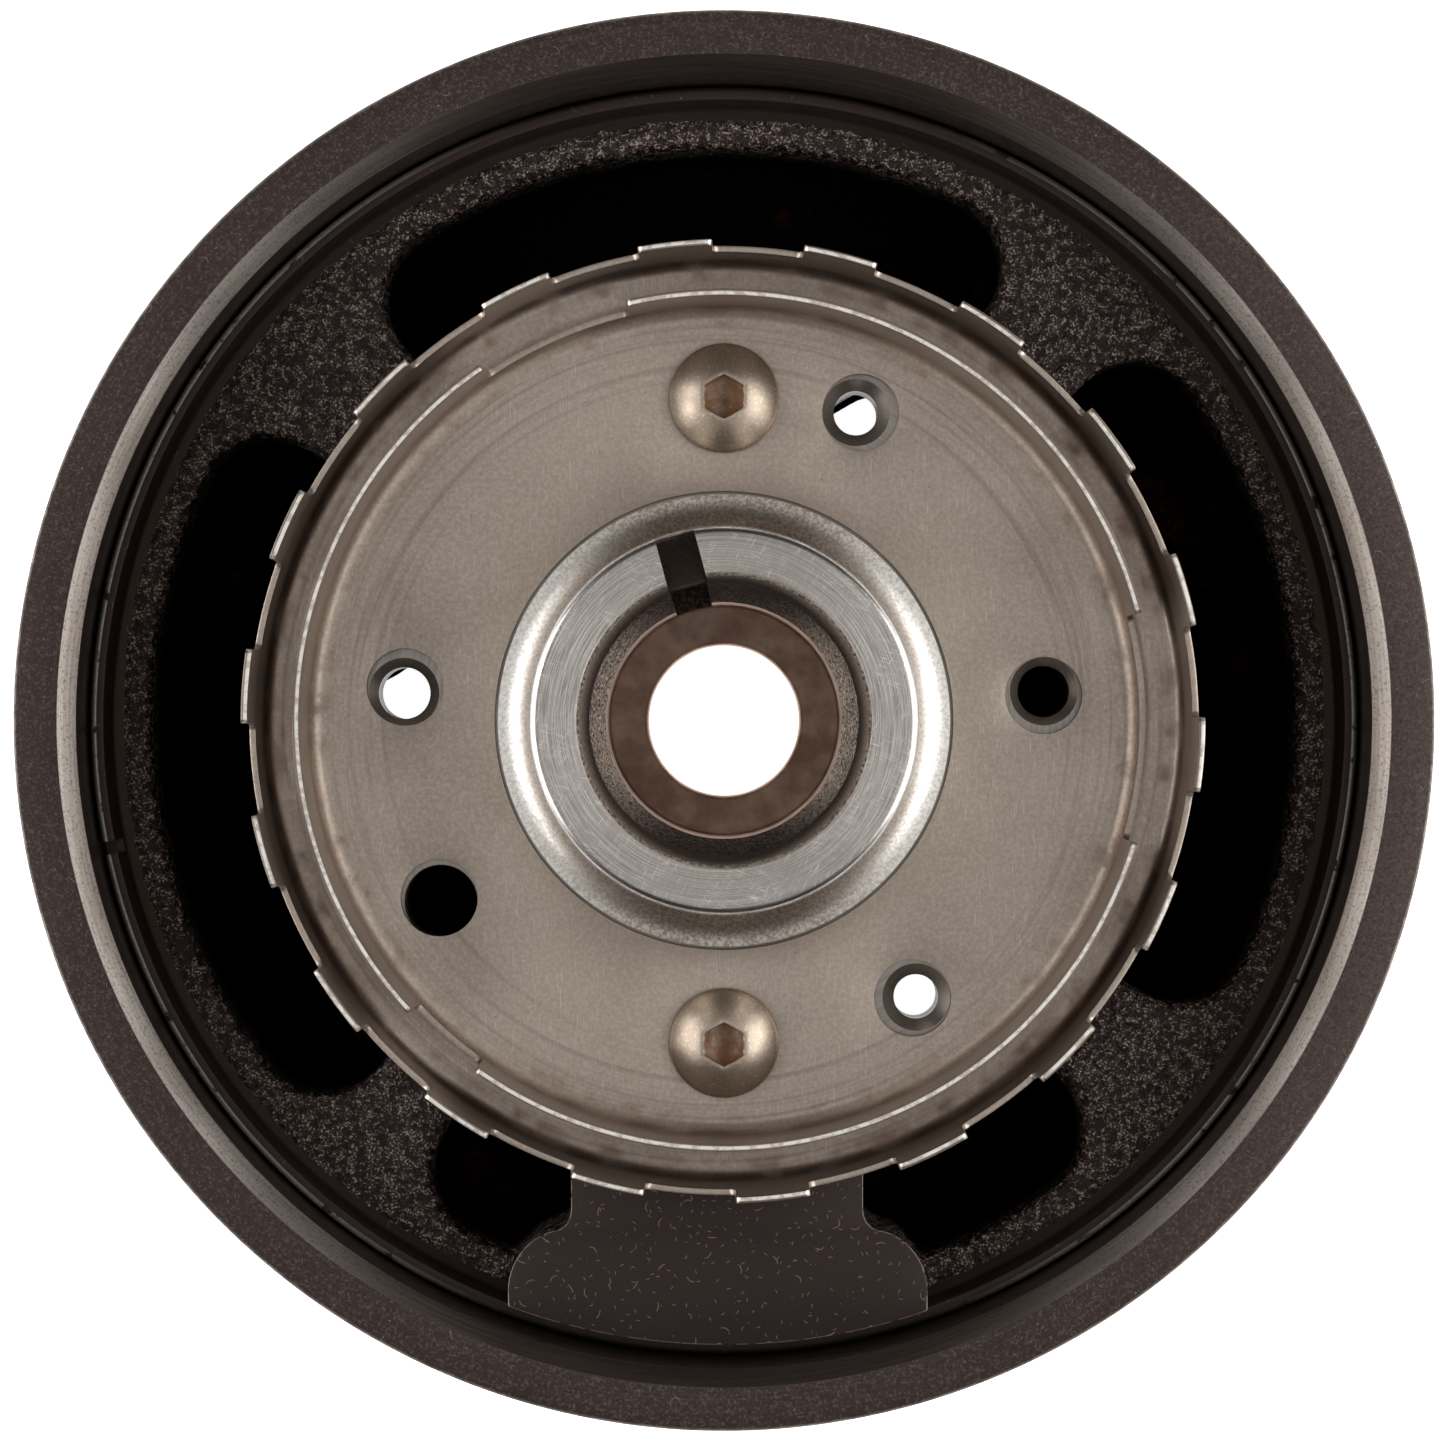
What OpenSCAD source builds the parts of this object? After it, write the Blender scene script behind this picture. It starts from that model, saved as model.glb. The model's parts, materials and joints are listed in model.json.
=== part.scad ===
// Crankshaft damper pulley with a nested pair of vane rings, lying on its front face.
// The Z axis is the shaft axis and +Z points to the engine. The origin is on the axis, at the front
// face that the part lies on. Heights below are counted from the hub's machined seat.

/* [Inertia ring] */
// Outside diameter of the inertia ring
ring_od = 182; // [180:0.5:186]
// Bore diameter of the inertia ring
ring_bore_d = 166.5; // [166.5:0.1:168]
// Height of the ring's back face over the hub's seat
ring_back_z = 2.6; // [1:0.1:4]
// Width of the inertia ring along the axis
ring_w = 56.6; // [54:0.2:60]
// Size of the 45 degree chamfer at the back of the ring's bore
ring_chamfer = 2.15; // [1:0.05:3]
// Number of belt grooves
belt_grooves = 6; // [4:1:7]
// Pitch of the belt grooves
groove_pitch = 3.56; // [3.4:0.02:3.6]
// Depth of one belt groove
groove_depth = 2.9; // [2:0.1:3]
// How far the groove crests lie below the outside diameter
belt_recess = 1; // [0.5:0.1:1.5]

/* [Rubber ring] */
// Radial clearance of the rubber to the inertia ring, which twists on it
twist_gap = 0.05; // [0.02:0.01:0.1]
// Length of the rubber ring along the axis
rubber_w = 30; // [20:1:31]
// Depth of the hollow in the rubber's front end
rubber_hollow = 1.2; // [0.5:0.1:2]

/* [Hub rim] */
// Outside diameter of the lip at the back of the hub's rim
lip_d = 165.5; // [164:0.1:165.9]
// Outside diameter of the hub's rim under the rubber
rim_d = 159.2; // [158:0.1:161]
// Height of the lip's face
lip_z = -8.5; // [-10:0.1:-7]
// Height of the rough cast face inside the lip
cast_z = -12.5; // [-14:0.1:-11]
// Height of the hub rim's front edge
rim_front_z = -46; // [-48:0.5:-44]
// Width of the timing notch in the lip
notch_w = 1.7; // [1:0.1:3]

/* [Pockets] */
// Outer radius of the five cast pockets
pocket_r = 75.2; // [74:0.1:77]
// Outside radius of the cast wall between the seat and the pockets
wall_r = 54; // [53:0.5:56]
// Height of the pocket floors
pocket_floor_z = -27; // [-29:0.5:-24]
// Radius of the pockets' outer corners
pocket_corner = 9; // [6:0.5:10]
// Thickness of the web under the pockets
web_t = 5.5; // [4:0.5:8]

/* [Seat and counterweight] */
// Outside radius of the machined seat
seat_r = 50; // [48:0.5:51]
// Outside radius of the counterweight pad
pad_r = 80.3; // [79:0.1:80.6]
// Left edge of the pad's neck
neck_left = 19.7; // [18:0.1:21]
// Right edge of the pad's neck
neck_right = 17.9; // [16:0.1:20]
// Left edge of the pad's foot
foot_left = 27.8; // [25:0.1:30]
// Right edge of the pad's foot
foot_right = 26.2; // [24:0.1:28]
// Distance of the foot's shoulder from the axis
foot_top = 65.3; // [64:0.1:67]
// Radius of the foot's shoulders
foot_corner = 8; // [6:0.5:8]

/* [Nose and bores] */
// Diameter of the nose that the oil seal runs on
nose_d = 47.6; // [46:0.1:49]
// Height of the nose's end over the seat
nose_z = 30; // [28:0.5:32]
// Diameter of the pilot that centres the vane rings
pilot_d = 58; // [57:0.1:58.4]
// Radius of the polished hollow between the pilot and the nose
nose_hollow = 5.2; // [4:0.1:5.2]
// Diameter of the relief bore behind the nose's mouth
relief_d = 35.2; // [34:0.1:36]
// Diameter of the crankshaft bore
crank_d = 31.75; // [30:0.05:33]
// Diameter of the clamping bolt's hole
bolt_d = 21; // [18:0.5:22]
// Width of the keyway
key_w = 4.9; // [4.7:0.1:5.2]
// Distance of the keyway's floor from the axis
key_r = 18.9; // [18:0.1:19.5]
// Angle of the keyway
key_angle = 105; // [0:1:359]

/* [Vane rings] */
// Sheet thickness of both vane rings
sheet_t = 0.8; // [0.6:0.1:1]
// Bore diameter of both vane rings
ring_hole_d = 58.8; // [58.6:0.1:59.4]
// Number of vanes on the outer ring
outer_vanes = 18; // [12:1:20]
// Width of a window in the outer ring in degrees
outer_window = 11; // [9:0.5:12]
// Angle of the first vane's middle on the outer ring
outer_phase = 15.9; // [0:0.1:20]
// Inside radius of the outer ring's wall
outer_wall_r = 58.95; // [58:0.05:60]
// Height of the outer ring's tips
outer_tip_z = 20.5; // [18:0.5:22]
// Height of the outer ring's window sills
outer_sill_z = 11.7; // [10:0.1:13]
// Inside radius of the inner ring's wall
inner_wall_r = 53.05; // [52:0.05:54]
// Height of the inner ring's tips
inner_tip_z = 15.9; // [14:0.1:17]
// Height of the inner ring's window sills
inner_sill_z = 3.9; // [3.8:0.1:6]
// Radius of the window corners
window_corner = 1; // [0.5:0.1:1]
// Diameter of the clearance holes through both rings
clear_d = 9.9; // [9.6:0.1:10.4]

/* [Ring screws] */
// Distance of the two ring screws from the axis
screw_r = 41.3; // [40:0.1:43]
// Diameter of a screw's thread
screw_d = 8; // [6:0.5:8.5]
// Diameter of a screw's button head
head_d = 14; // [12:0.5:15]
// Height of a screw's button head
head_h = 4.4; // [4:0.1:5]
// Width of the hexagon socket across its flats
socket_af = 5; // [4:0.5:6]
// Length of a screw below its head
screw_l = 16; // [12:1:20]

/* [Hidden] */
$fn = 96;
CAST = [0.16, 0.15, 0.15];
BLACK = [0.1, 0.1, 0.1];
RUBBER = [0.05, 0.05, 0.05];
STEEL = [0.52, 0.49, 0.46];
eps = 0.01;

// Inertia ring
ring_r = ring_od / 2;
bore_r = ring_bore_d / 2;
ring_front_z = ring_back_z - ring_w;
edge = 0.5;
bore_front_edge = 1;
groove_floor_w = 0.7;
groove_flank_angle = 20;
groove_half = groove_floor_w / 2 + groove_depth * tan(groove_flank_angle);
crest_r = ring_r - belt_recess;
front_flange_w = 4;
belt_front_z = ring_front_z + front_flange_w;
seat_z = -ring_front_z;
belt_side_w = 0.7;
belt_w = belt_grooves * groove_pitch + 2 * belt_side_w;

// Rubber ring and hub rim
lip_r = lip_d / 2;
lip_round = 0.6;
lip_t = 5;
lip_w = 1.75;
lip_inner_r = lip_r - lip_w;
rim_edge = 1;
rim_r = rim_d / 2;
rubber_back_z = lip_z - lip_t;
rubber_front_z = rubber_back_z - rubber_w;
web_front_z = pocket_floor_z - web_t;
// The corner arcs run a little past the walls, so that they cross them cleanly
corner_overlap = 0.05;
// First and last angle of each pocket, anticlockwise as seen from the engine
pockets = [[57.5, 130.5], [147, 225], [236, 262], [276, 313], [327, 403]];
spoke_shoulder_z = -4;
// Height of the casting where the wall meets the web, and the width of the slope at its foot
wall_top_z = -8.5;
wall_foot_w = 4;
notch_angle = 191.7;
notch_depth = 2.4;

// Centre of the hub
nose_r = nose_d / 2;
nose_edge = 0.8;
pilot_r = pilot_d / 2;
pilot_z = 2 * sheet_t;
hollow_z = pilot_z + nose_hollow;
relief_r = relief_d / 2;
crank_r = crank_d / 2;
bolt_r = bolt_d / 2;
relief_end_z = -8.7;
crank_back_z = -24;
shoulder_z = -43;
boss_front_z = ring_front_z + 2;
boss_r = 26;
washer_r = 22;
washer_z = boss_front_z + 0.6;
key_mouth_r = 23.3;
key_ramp_z = -20;

// Front recess around the boss, which the three through holes open into
recess_r = 49.3;
plate_z = -8;
solid_angle = 120.7;
solid_dist = 28.6;
pillar_r = 8.6;
pillar_z = -34;
screw_pillar_z = -22;
blind_depth = 28;

// Each hole in the seat: distance, angle, drilled diameter, mouth diameter, and 1 where it is blind
seat_holes = [
  [43.1, 66.8, 5.7, 8.7, 0], [41.3, 175.1, 6.65, 9.1, 0], [43.3, 304.8, 5.7, 8.7, 0],
  [41.3, 5.2, 6.65, 8.8, 1], [43.2, 212.6, 9.35, 9.55, 1]
];
// Distance and angle of each clearance hole through the vane rings
clear_holes = [[43.2, 66.1], [41.1, 174], [43, 304.2], [41.1, 4.5], [43, 211.9]];

// Vane rings and screws
inner_windows = [[-1, 31], [113.8, 21.2], [228.7, 11.8]];
outer_bend = 1.5;
inner_bend = 2.1;
thread_play = 0.05;
screw_hole_d = 8.6;
socket_depth = 2.8;
head_edge = 0.9;
dome_r = ((head_d / 2) ^ 2 + (head_h - head_edge) ^ 2) / (2 * (head_h - head_edge));

// Casting ridges on the lower right spoke, in place of a foundry mark
ridge_angle = 320.2;
ridge_offsets = [-6.4, -2.8, 0.8, 4.6];
ridge_r = 63;
ridge_l = 10;
ridge_w = 1.4;
ridge_h = 0.6;

// Lifts a piece that is drawn from the seat to its height over the front face
module from_seat() {
  translate([0, 0, seat_z]) children();
}

// Puts its children at a distance and an angle round the axis
module polar(r, a) {
  rotate([0, 0, a]) translate([r, 0, 0]) children();
}

// A window's outline with rounded lower corners, cut straight out through a wall
module window(middle, width, r, sill_z) {
  half = r * sin(width / 2);
  near = r * cos(width / 2) - 2;
  rotate([0, 0, middle]) translate([near, 0, 0]) rotate([90, 0, 90]) linear_extrude(r + 2 - near) {
    translate([-half, sill_z + window_corner]) square([2 * half, 30]);
    translate([window_corner - half, sill_z]) square([2 * (half - window_corner), 30]);
    for (x = [window_corner - half, half - window_corner])
      translate([x, sill_z + window_corner]) circle(r = window_corner, $fn = 32);
  }
}

// Points on a quarter turn of a bend, from straight down round to straight out
function bend_points(x, z, r) = [for (i = [0 : 6]) [x + r * sin(15 * i), z - r * cos(15 * i)]];

// Flat ring with a bent up wall, from its lower face at z
module cup_blank(z, wall_inner_r, bend, tip_z) {
  centre_r = wall_inner_r - bend;
  centre_z = z + sheet_t + bend;
  inside = bend_points(centre_r, centre_z, bend);
  rotate_extrude($fn = 180) polygon(concat(
    [[ring_hole_d / 2, z]],
    bend_points(centre_r, centre_z, bend + sheet_t),
    [[wall_inner_r + sheet_t, tip_z], [wall_inner_r, tip_z]],
    [for (i = [6 : -1 : 0]) inside[i]],
    [[ring_hole_d / 2, z + sheet_t]]
  ));
}

// Holes through a vane ring for the screws, the tapped holes and the sight hole
module cup_holes() {
  for (h = clear_holes)
    polar(h[0], h[1]) translate([0, 0, -1]) cylinder(d = clear_d, h = 5, $fn = 64);
  for (a = [90, 270])
    polar(screw_r, a) translate([0, 0, -1]) cylinder(d = screw_hole_d, h = 5, $fn = 64);
}

module outer_vane_ring() {
  color(STEEL) from_seat() difference() {
    cup_blank(0, outer_wall_r, outer_bend, outer_tip_z);
    cup_holes();
    for (i = [0 : outer_vanes - 1])
      window(outer_phase + (i + 0.5) * 360 / outer_vanes, outer_window,
        outer_wall_r + sheet_t / 2, outer_sill_z);
  }
}

module inner_vane_ring() {
  color(STEEL) from_seat() difference() {
    cup_blank(sheet_t, inner_wall_r, inner_bend, inner_tip_z);
    cup_holes();
    for (w = inner_windows)
      window(w[0], w[1], inner_wall_r + sheet_t / 2, inner_sill_z);
  }
}

// One button head screw, standing on the upper vane ring
module ring_screw(a) {
  color(STEEL) from_seat() polar(screw_r, a) translate([0, 0, 2 * sheet_t]) difference() {
    union() {
      cylinder(d = head_d, h = head_edge, $fn = 96);
      translate([0, 0, head_edge]) intersection() {
        translate([0, 0, head_h - head_edge - dome_r]) sphere(r = dome_r, $fn = 128);
        cylinder(d = head_d, h = head_h);
      }
      translate([0, 0, -screw_l]) cylinder(d = screw_d - 2 * thread_play, h = screw_l + eps, $fn = 64);
    }
    translate([0, 0, head_h - socket_depth]) rotate([0, 0, 30])
      cylinder(d = socket_af / cos(30), h = socket_depth + 1, $fn = 6);
    translate([0, 0, head_h - socket_depth - 1]) cylinder(d1 = 0, d2 = 4.4, h = 1 + eps, $fn = 48);
  }
}

module ring_screw_top() {
  ring_screw(90);
}

module ring_screw_bottom() {
  ring_screw(270);
}

module inertia_ring() {
  color(BLACK) from_seat() rotate_extrude($fn = 240) difference() {
    polygon([
      [bore_r, ring_front_z + bore_front_edge], [bore_r + bore_front_edge, ring_front_z],
      [ring_r - edge, ring_front_z], [ring_r, ring_front_z + edge],
      [ring_r, belt_front_z], [crest_r, belt_front_z + belt_recess],
      [crest_r, belt_front_z + belt_w - belt_recess], [ring_r, belt_front_z + belt_w],
      [ring_r, ring_back_z - edge], [ring_r - edge, ring_back_z],
      [bore_r + ring_chamfer, ring_back_z], [bore_r, ring_back_z - ring_chamfer]
    ]);
    for (i = [0 : belt_grooves - 1])
      translate([crest_r, belt_front_z + belt_w / 2 + (i - (belt_grooves - 1) / 2) * groove_pitch])
        polygon([
          [-groove_depth, -groove_floor_w / 2], [-groove_depth, groove_floor_w / 2],
          [0, groove_half], [1, groove_half], [1, -groove_half], [0, -groove_half]
        ]);
  }
}

module rubber_ring() {
  middle_r = (rim_r + bore_r) / 2;
  color(RUBBER) from_seat() rotate_extrude($fn = 180) polygon([
    [rim_r, rubber_back_z], [bore_r - twist_gap, rubber_back_z],
    [bore_r - twist_gap, rubber_front_z], [middle_r, rubber_front_z + rubber_hollow],
    [rim_r, rubber_front_z]
  ]);
}

// Outline of the counterweight pad, seen from the engine
module pad_outline() {
  intersection() {
    circle(r = pad_r, $fn = 240);
    union() {
      translate([-neck_left, -pad_r]) square([neck_left + neck_right, pad_r - seat_r + 6]);
      translate([-foot_left, -pad_r]) square([foot_left + foot_right, pad_r - foot_top - foot_corner]);
      translate([foot_corner - foot_left, -pad_r])
        square([foot_left + foot_right - 2 * foot_corner, pad_r - foot_top]);
      for (x = [foot_corner - foot_left, foot_right - foot_corner])
        translate([x, -foot_top - foot_corner]) circle(r = foot_corner, $fn = 64);
    }
  }
}

// Turned nose and boss, with their bores still closed
module nose_blank() {
  hollow = [for (i = [0 : 6]) [pilot_r - nose_hollow * cos(15 * i), hollow_z - nose_hollow * sin(15 * i)]];
  rotate_extrude($fn = 240) polygon(concat(
    [
      [0, nose_z], [nose_r - nose_edge, nose_z], [nose_r - 0.25, nose_z - 0.25],
      [nose_r, nose_z - nose_edge]
    ],
    hollow,
    [
      [pilot_r, 0], [boss_r, 0], [boss_r, boss_front_z + nose_edge],
      [boss_r - nose_edge, boss_front_z], [0, boss_front_z]
    ]
  ));
}

// Outline of a ring's sector, up to a half turn
module sector_outline(r0, r1, a0, a1) {
  reach = 2 * r1;
  middle = (a0 + a1) / 2;
  intersection() {
    difference() {
      circle(r = r1, $fn = 180);
      circle(r = r0, $fn = 180);
    }
    polygon([
      [0, 0], [reach * cos(a0), reach * sin(a0)],
      [reach * cos(middle), reach * sin(middle)], [reach * cos(a1), reach * sin(a1)]
    ]);
  }
}

// One cast pocket with rounded outer corners, open to the rim
module pocket(a0, a1) {
  turn = asin(pocket_corner / (pocket_r - pocket_corner));
  translate([0, 0, pocket_floor_z]) linear_extrude(40) {
    sector_outline(wall_r - 1, pocket_r - pocket_corner, a0, a1);
    sector_outline(wall_r - 1, pocket_r + 1, a0 + turn, a1 - turn);
    for (a = [a0 + turn, a1 - turn])
      rotate(a) translate([pocket_r - pocket_corner, 0])
        circle(r = pocket_corner + corner_overlap, $fn = 64);
  }
}

// Pillar under the seat plate, cut off where it meets the wall round the recess
module pillar(r, a, bottom_z) {
  translate([0, 0, bottom_z]) linear_extrude(plate_z - bottom_z) intersection() {
    circle(r = recess_r, $fn = 180);
    rotate(a) translate([r, 0]) circle(r = pillar_r, $fn = 64);
  }
}

// Stepped bore through the nose and the boss
module stepped_bore() {
  corner = 0.4;
  rotate_extrude($fn = 180) polygon([
    [0, nose_z + 1], [relief_r + 1.4, nose_z + 1], [relief_r, nose_z - 0.4],
    [relief_r, relief_end_z], [crank_r, crank_back_z], [crank_r, shoulder_z + corner],
    [crank_r - corner, shoulder_z], [bolt_r + 0.6, shoulder_z], [bolt_r, shoulder_z - 0.6],
    [bolt_r, washer_z], [washer_r, washer_z], [washer_r, boss_front_z - 1], [0, boss_front_z - 1]
  ]);
}

// Keyway that runs from the nose's end to the shoulder, with a ramp at its mouth
module keyway() {
  rotate([90, 0, key_angle]) translate([0, 0, -key_w / 2]) linear_extrude(key_w) polygon([
    [crank_r - 3, nose_z + 1], [key_mouth_r, nose_z + 1], [key_mouth_r, nose_z - 1],
    [key_r, key_ramp_z], [key_r, shoulder_z + 1], [crank_r - 3, shoulder_z + 1]
  ]);
}

// Drilled and countersunk holes in the seat
module seat_drillings() {
  for (h = seat_holes)
    polar(h[0], h[1]) {
      sink = (h[3] - h[2]) / 2;
      bottom_z = h[4] == 1 ? -blind_depth : plate_z - 1;
      translate([0, 0, bottom_z]) cylinder(d = h[2], h = 1 - bottom_z, $fn = 64);
      translate([0, 0, -sink]) cylinder(d1 = h[2], d2 = h[3], h = sink + eps, $fn = 64);
    }
  for (a = [90, 270])
    polar(screw_r, a) translate([0, 0, -screw_l]) cylinder(d = screw_d, h = screw_l + 1, $fn = 64);
}

// The hub is one casting. It is drawn as nine touching solids, from the axis outwards.
module hub_nose() {
  color(CAST) from_seat() difference() {
    nose_blank();
    stepped_bore();
    keyway();
  }
}

module hub_seat_plate() {
  color(CAST) from_seat() difference() {
    translate([0, 0, plate_z]) linear_extrude(-plate_z) difference() {
      circle(r = recess_r, $fn = 180);
      circle(r = boss_r, $fn = 240);
    }
    seat_drillings();
  }
}

// The solid side of the front recess, which takes the upper ring screw
module hub_segment() {
  color(CAST) from_seat() difference() {
    translate([0, 0, rim_front_z]) linear_extrude(plate_z - rim_front_z) intersection() {
      circle(r = recess_r, $fn = 180);
      rotate(solid_angle) translate([solid_dist, -recess_r]) square([recess_r, 2 * recess_r]);
    }
    seat_drillings();
  }
}

module hub_pillar_right() {
  color(CAST) from_seat() difference() {
    pillar(seat_holes[3][0], seat_holes[3][1], pillar_z);
    seat_drillings();
  }
}

module hub_pillar_left() {
  color(CAST) from_seat() difference() {
    pillar(seat_holes[4][0], seat_holes[4][1], pillar_z);
    seat_drillings();
  }
}

module hub_pillar_bottom() {
  color(CAST) from_seat() difference() {
    pillar(screw_r, 270, screw_pillar_z);
    seat_drillings();
  }
}

module hub_inner_wall() {
  color(CAST) from_seat() rotate_extrude($fn = 240) polygon([
    [recess_r, 0], [seat_r, 0], [seat_r + 1, spoke_shoulder_z], [wall_r, wall_top_z],
    [wall_r, rim_front_z + rim_edge], [wall_r - rim_edge, rim_front_z], [recess_r, rim_front_z]
  ]);
}

module hub_web() {
  color(CAST) from_seat() {
    difference() {
      rotate_extrude($fn = 240) polygon([
        [wall_r, web_front_z], [pocket_r, web_front_z], [pocket_r, cast_z],
        [wall_r + wall_foot_w, cast_z], [wall_r, wall_top_z]
      ]);
      for (p = pockets)
        pocket(p[0], p[1]);
    }
    translate([0, 0, web_front_z]) linear_extrude(-web_front_z) difference() {
      intersection() {
        pad_outline();
        circle(r = pocket_r, $fn = 240);
      }
      circle(r = wall_r, $fn = 240);
    }
    for (y = ridge_offsets)
      rotate([0, 0, ridge_angle]) translate([ridge_r, y - ridge_w / 2, cast_z - 1])
        cube([ridge_l, ridge_w, 1 + ridge_h]);
  }
}

module hub_rim() {
  color(CAST) from_seat() difference() {
    union() {
      rotate_extrude($fn = 240) polygon([
        [pocket_r, cast_z], [lip_inner_r - 1.6, cast_z], [lip_inner_r - 0.6, cast_z + 0.7],
        [lip_inner_r - 0.2, lip_z - 0.9], [lip_inner_r + 0.1, lip_z], [lip_r - lip_round, lip_z],
        [lip_r - 0.18, lip_z - 0.18], [lip_r, lip_z - lip_round], [lip_r, lip_z - lip_t],
        [rim_r, lip_z - lip_t], [rim_r, rim_front_z + rim_edge], [rim_r - rim_edge, rim_front_z],
        [pocket_r, rim_front_z]
      ]);
      translate([0, 0, web_front_z]) linear_extrude(-web_front_z) difference() {
        pad_outline();
        circle(r = pocket_r, $fn = 240);
      }
    }
    rotate([0, 0, notch_angle]) translate([lip_r - notch_depth, -notch_w / 2, lip_z - 3])
      cube([notch_depth + 1, notch_w, 4]);
  }
}

hub_nose();
hub_seat_plate();
hub_segment();
hub_pillar_right();
hub_pillar_left();
hub_pillar_bottom();
hub_inner_wall();
hub_web();
hub_rim();
rubber_ring();
inertia_ring();
outer_vane_ring();
inner_vane_ring();
ring_screw_top();
ring_screw_bottom();
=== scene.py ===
import json
import math

import bmesh
import bpy
import numpy as np
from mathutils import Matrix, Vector, noise
from mathutils.geometry import delaunay_2d_cdt

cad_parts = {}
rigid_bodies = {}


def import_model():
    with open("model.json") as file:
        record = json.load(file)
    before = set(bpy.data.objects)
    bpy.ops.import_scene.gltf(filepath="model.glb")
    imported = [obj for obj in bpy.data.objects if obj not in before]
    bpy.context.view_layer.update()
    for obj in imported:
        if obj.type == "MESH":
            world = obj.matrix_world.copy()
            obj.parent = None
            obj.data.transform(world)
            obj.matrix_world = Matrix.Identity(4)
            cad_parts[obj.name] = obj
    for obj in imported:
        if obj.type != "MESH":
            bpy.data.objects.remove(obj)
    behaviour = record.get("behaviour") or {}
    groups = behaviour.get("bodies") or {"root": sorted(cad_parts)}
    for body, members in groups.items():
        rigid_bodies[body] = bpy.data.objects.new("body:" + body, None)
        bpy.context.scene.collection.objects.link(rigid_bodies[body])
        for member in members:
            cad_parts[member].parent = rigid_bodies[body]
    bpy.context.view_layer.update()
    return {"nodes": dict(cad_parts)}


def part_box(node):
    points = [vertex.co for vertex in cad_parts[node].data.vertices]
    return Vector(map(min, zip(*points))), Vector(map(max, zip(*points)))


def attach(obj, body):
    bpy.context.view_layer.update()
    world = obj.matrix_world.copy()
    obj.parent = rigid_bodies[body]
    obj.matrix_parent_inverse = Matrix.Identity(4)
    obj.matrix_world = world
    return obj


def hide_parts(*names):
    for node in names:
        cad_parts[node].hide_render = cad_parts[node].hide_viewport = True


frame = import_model()

# ---------------------------------------------------------------------------
# Sizes. Lengths are in millimetres, heights are counted from the hub's machined seat.
# ---------------------------------------------------------------------------
MM = 0.001
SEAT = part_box("outer_vane_ring")[0].z / MM
RING_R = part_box("inertia_ring")[1].x / MM
RING_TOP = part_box("inertia_ring")[1].z / MM - SEAT
RING_FRONT = -SEAT
NOSE_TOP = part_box("hub_nose")[1].z / MM - SEAT
HUB_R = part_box("hub_rim")[1].x / MM
HUB_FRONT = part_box("hub_nose")[0].z / MM - SEAT
OUTER_WALL_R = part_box("outer_vane_ring")[1].x / MM
OUTER_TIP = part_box("outer_vane_ring")[1].z / MM - SEAT
INNER_WALL_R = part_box("inner_vane_ring")[1].x / MM
INNER_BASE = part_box("inner_vane_ring")[0].z / MM - SEAT
INNER_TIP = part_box("inner_vane_ring")[1].z / MM - SEAT
SCREW_Y = (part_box("ring_screw_top")[0].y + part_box("ring_screw_top")[1].y) / 2 / MM
SCREW_HEAD_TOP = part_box("ring_screw_top")[1].z / MM - SEAT
SCREW_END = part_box("ring_screw_top")[0].z / MM - SEAT

RING_BORE_R = 83.25
RING_CHAMFER = 2.15
BELT_GROOVES, GROOVE_PITCH, GROOVE_DEPTH, BELT_RECESS = 6, 3.56, 2.9, 1.0
GROOVE_HALF_ANGLE, GROOVE_FLOOR, GROOVE_EDGE = 20, 0.7, 0.3
FRONT_FLANGE, BELT_SIDES = 4, 1.4

SHEET = 0.8
RING_HOLE_R = 29.4
OUTER_VANES, OUTER_WINDOW, OUTER_PHASE, OUTER_SILL, OUTER_BEND = 18, 11, 15.9, 11.7, 1.5
INNER_WINDOWS = [(-1, 31), (113.8, 21.2), (228.7, 11.8)]
INNER_SILL, INNER_BEND, WINDOW_CORNER = 3.9, 2.1, 1.0
CLEAR_HOLES = [(43.2, 66.1), (41.1, 174), (43, 304.2), (41.1, 4.5), (43, 211.9)]
CLEAR_R, SCREW_HOLE_R = 4.95, 4.3

HEAD_R, HEAD_EDGE, SOCKET_AF, SOCKET_DEPTH = 7.0, 0.9, 5.0, 2.8
THREAD_R, THREAD_PITCH, THREAD_DEPTH = 3.95, 1.25, 0.65

LIP_Z, CAST_Z, LIP_INNER_R, LIP_DEPTH = -8.5, -12.5, 81.0, 5.0
NOTCH_ANGLE, NOTCH_W, NOTCH_DEPTH = 191.7, 1.7, 2.4
PILOT_R, NOSE_R, NOSE_HOLLOW = 29.0, 23.8, 5.2
RELIEF_R, CRANK_R, BOLT_R, WASHER_R = 17.6, 15.875, 10.5, 22.0
RELIEF_END, CRANK_BACK, SHOULDER, WASHER_Z = -8.7, -24.0, -43.0, HUB_FRONT + 0.6
KEY_ANGLE, KEY_W, KEY_R, KEY_MOUTH_R, KEY_RAMP = 105, 4.9, 18.9, 23.3, -20
SEAT_R = 50.0
BOSS_R, BOSS_BORE_CLEARANCE = 26.0, 1.0
BLIND_HOLES = {
    "hub_pillar_right": (41.3, 5.2, 3.325, 28), "hub_pillar_left": (43.2, 212.6, 4.675, 28),
    "hub_segment": (41.3, 90, 4.0, 16), "hub_pillar_bottom": (41.3, 270, 4.0, 16),
}
PAD_R, PAD_FOOT_TOP, PAD_CORNER = 80.3, 65.3, 8.0
PAD_NECK, PAD_FOOT = (-19.7, 17.9), (-27.8, 26.2)
TIP_CORNER, VANE_LEAN = 0.7, 0.12

PHOTO_SIDE, FOCAL_PIXELS, AXIS_OFF = 1445, 4290, (-1.5, -2)
CAMERA_OVER_SEAT = 0.5516


# ---------------------------------------------------------------------------
# Mesh helpers
# ---------------------------------------------------------------------------
def add_object(name, data):
    """A new object in the scene."""
    obj = bpy.data.objects.new(name, data)
    bpy.context.scene.collection.objects.link(obj)
    return obj


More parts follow.
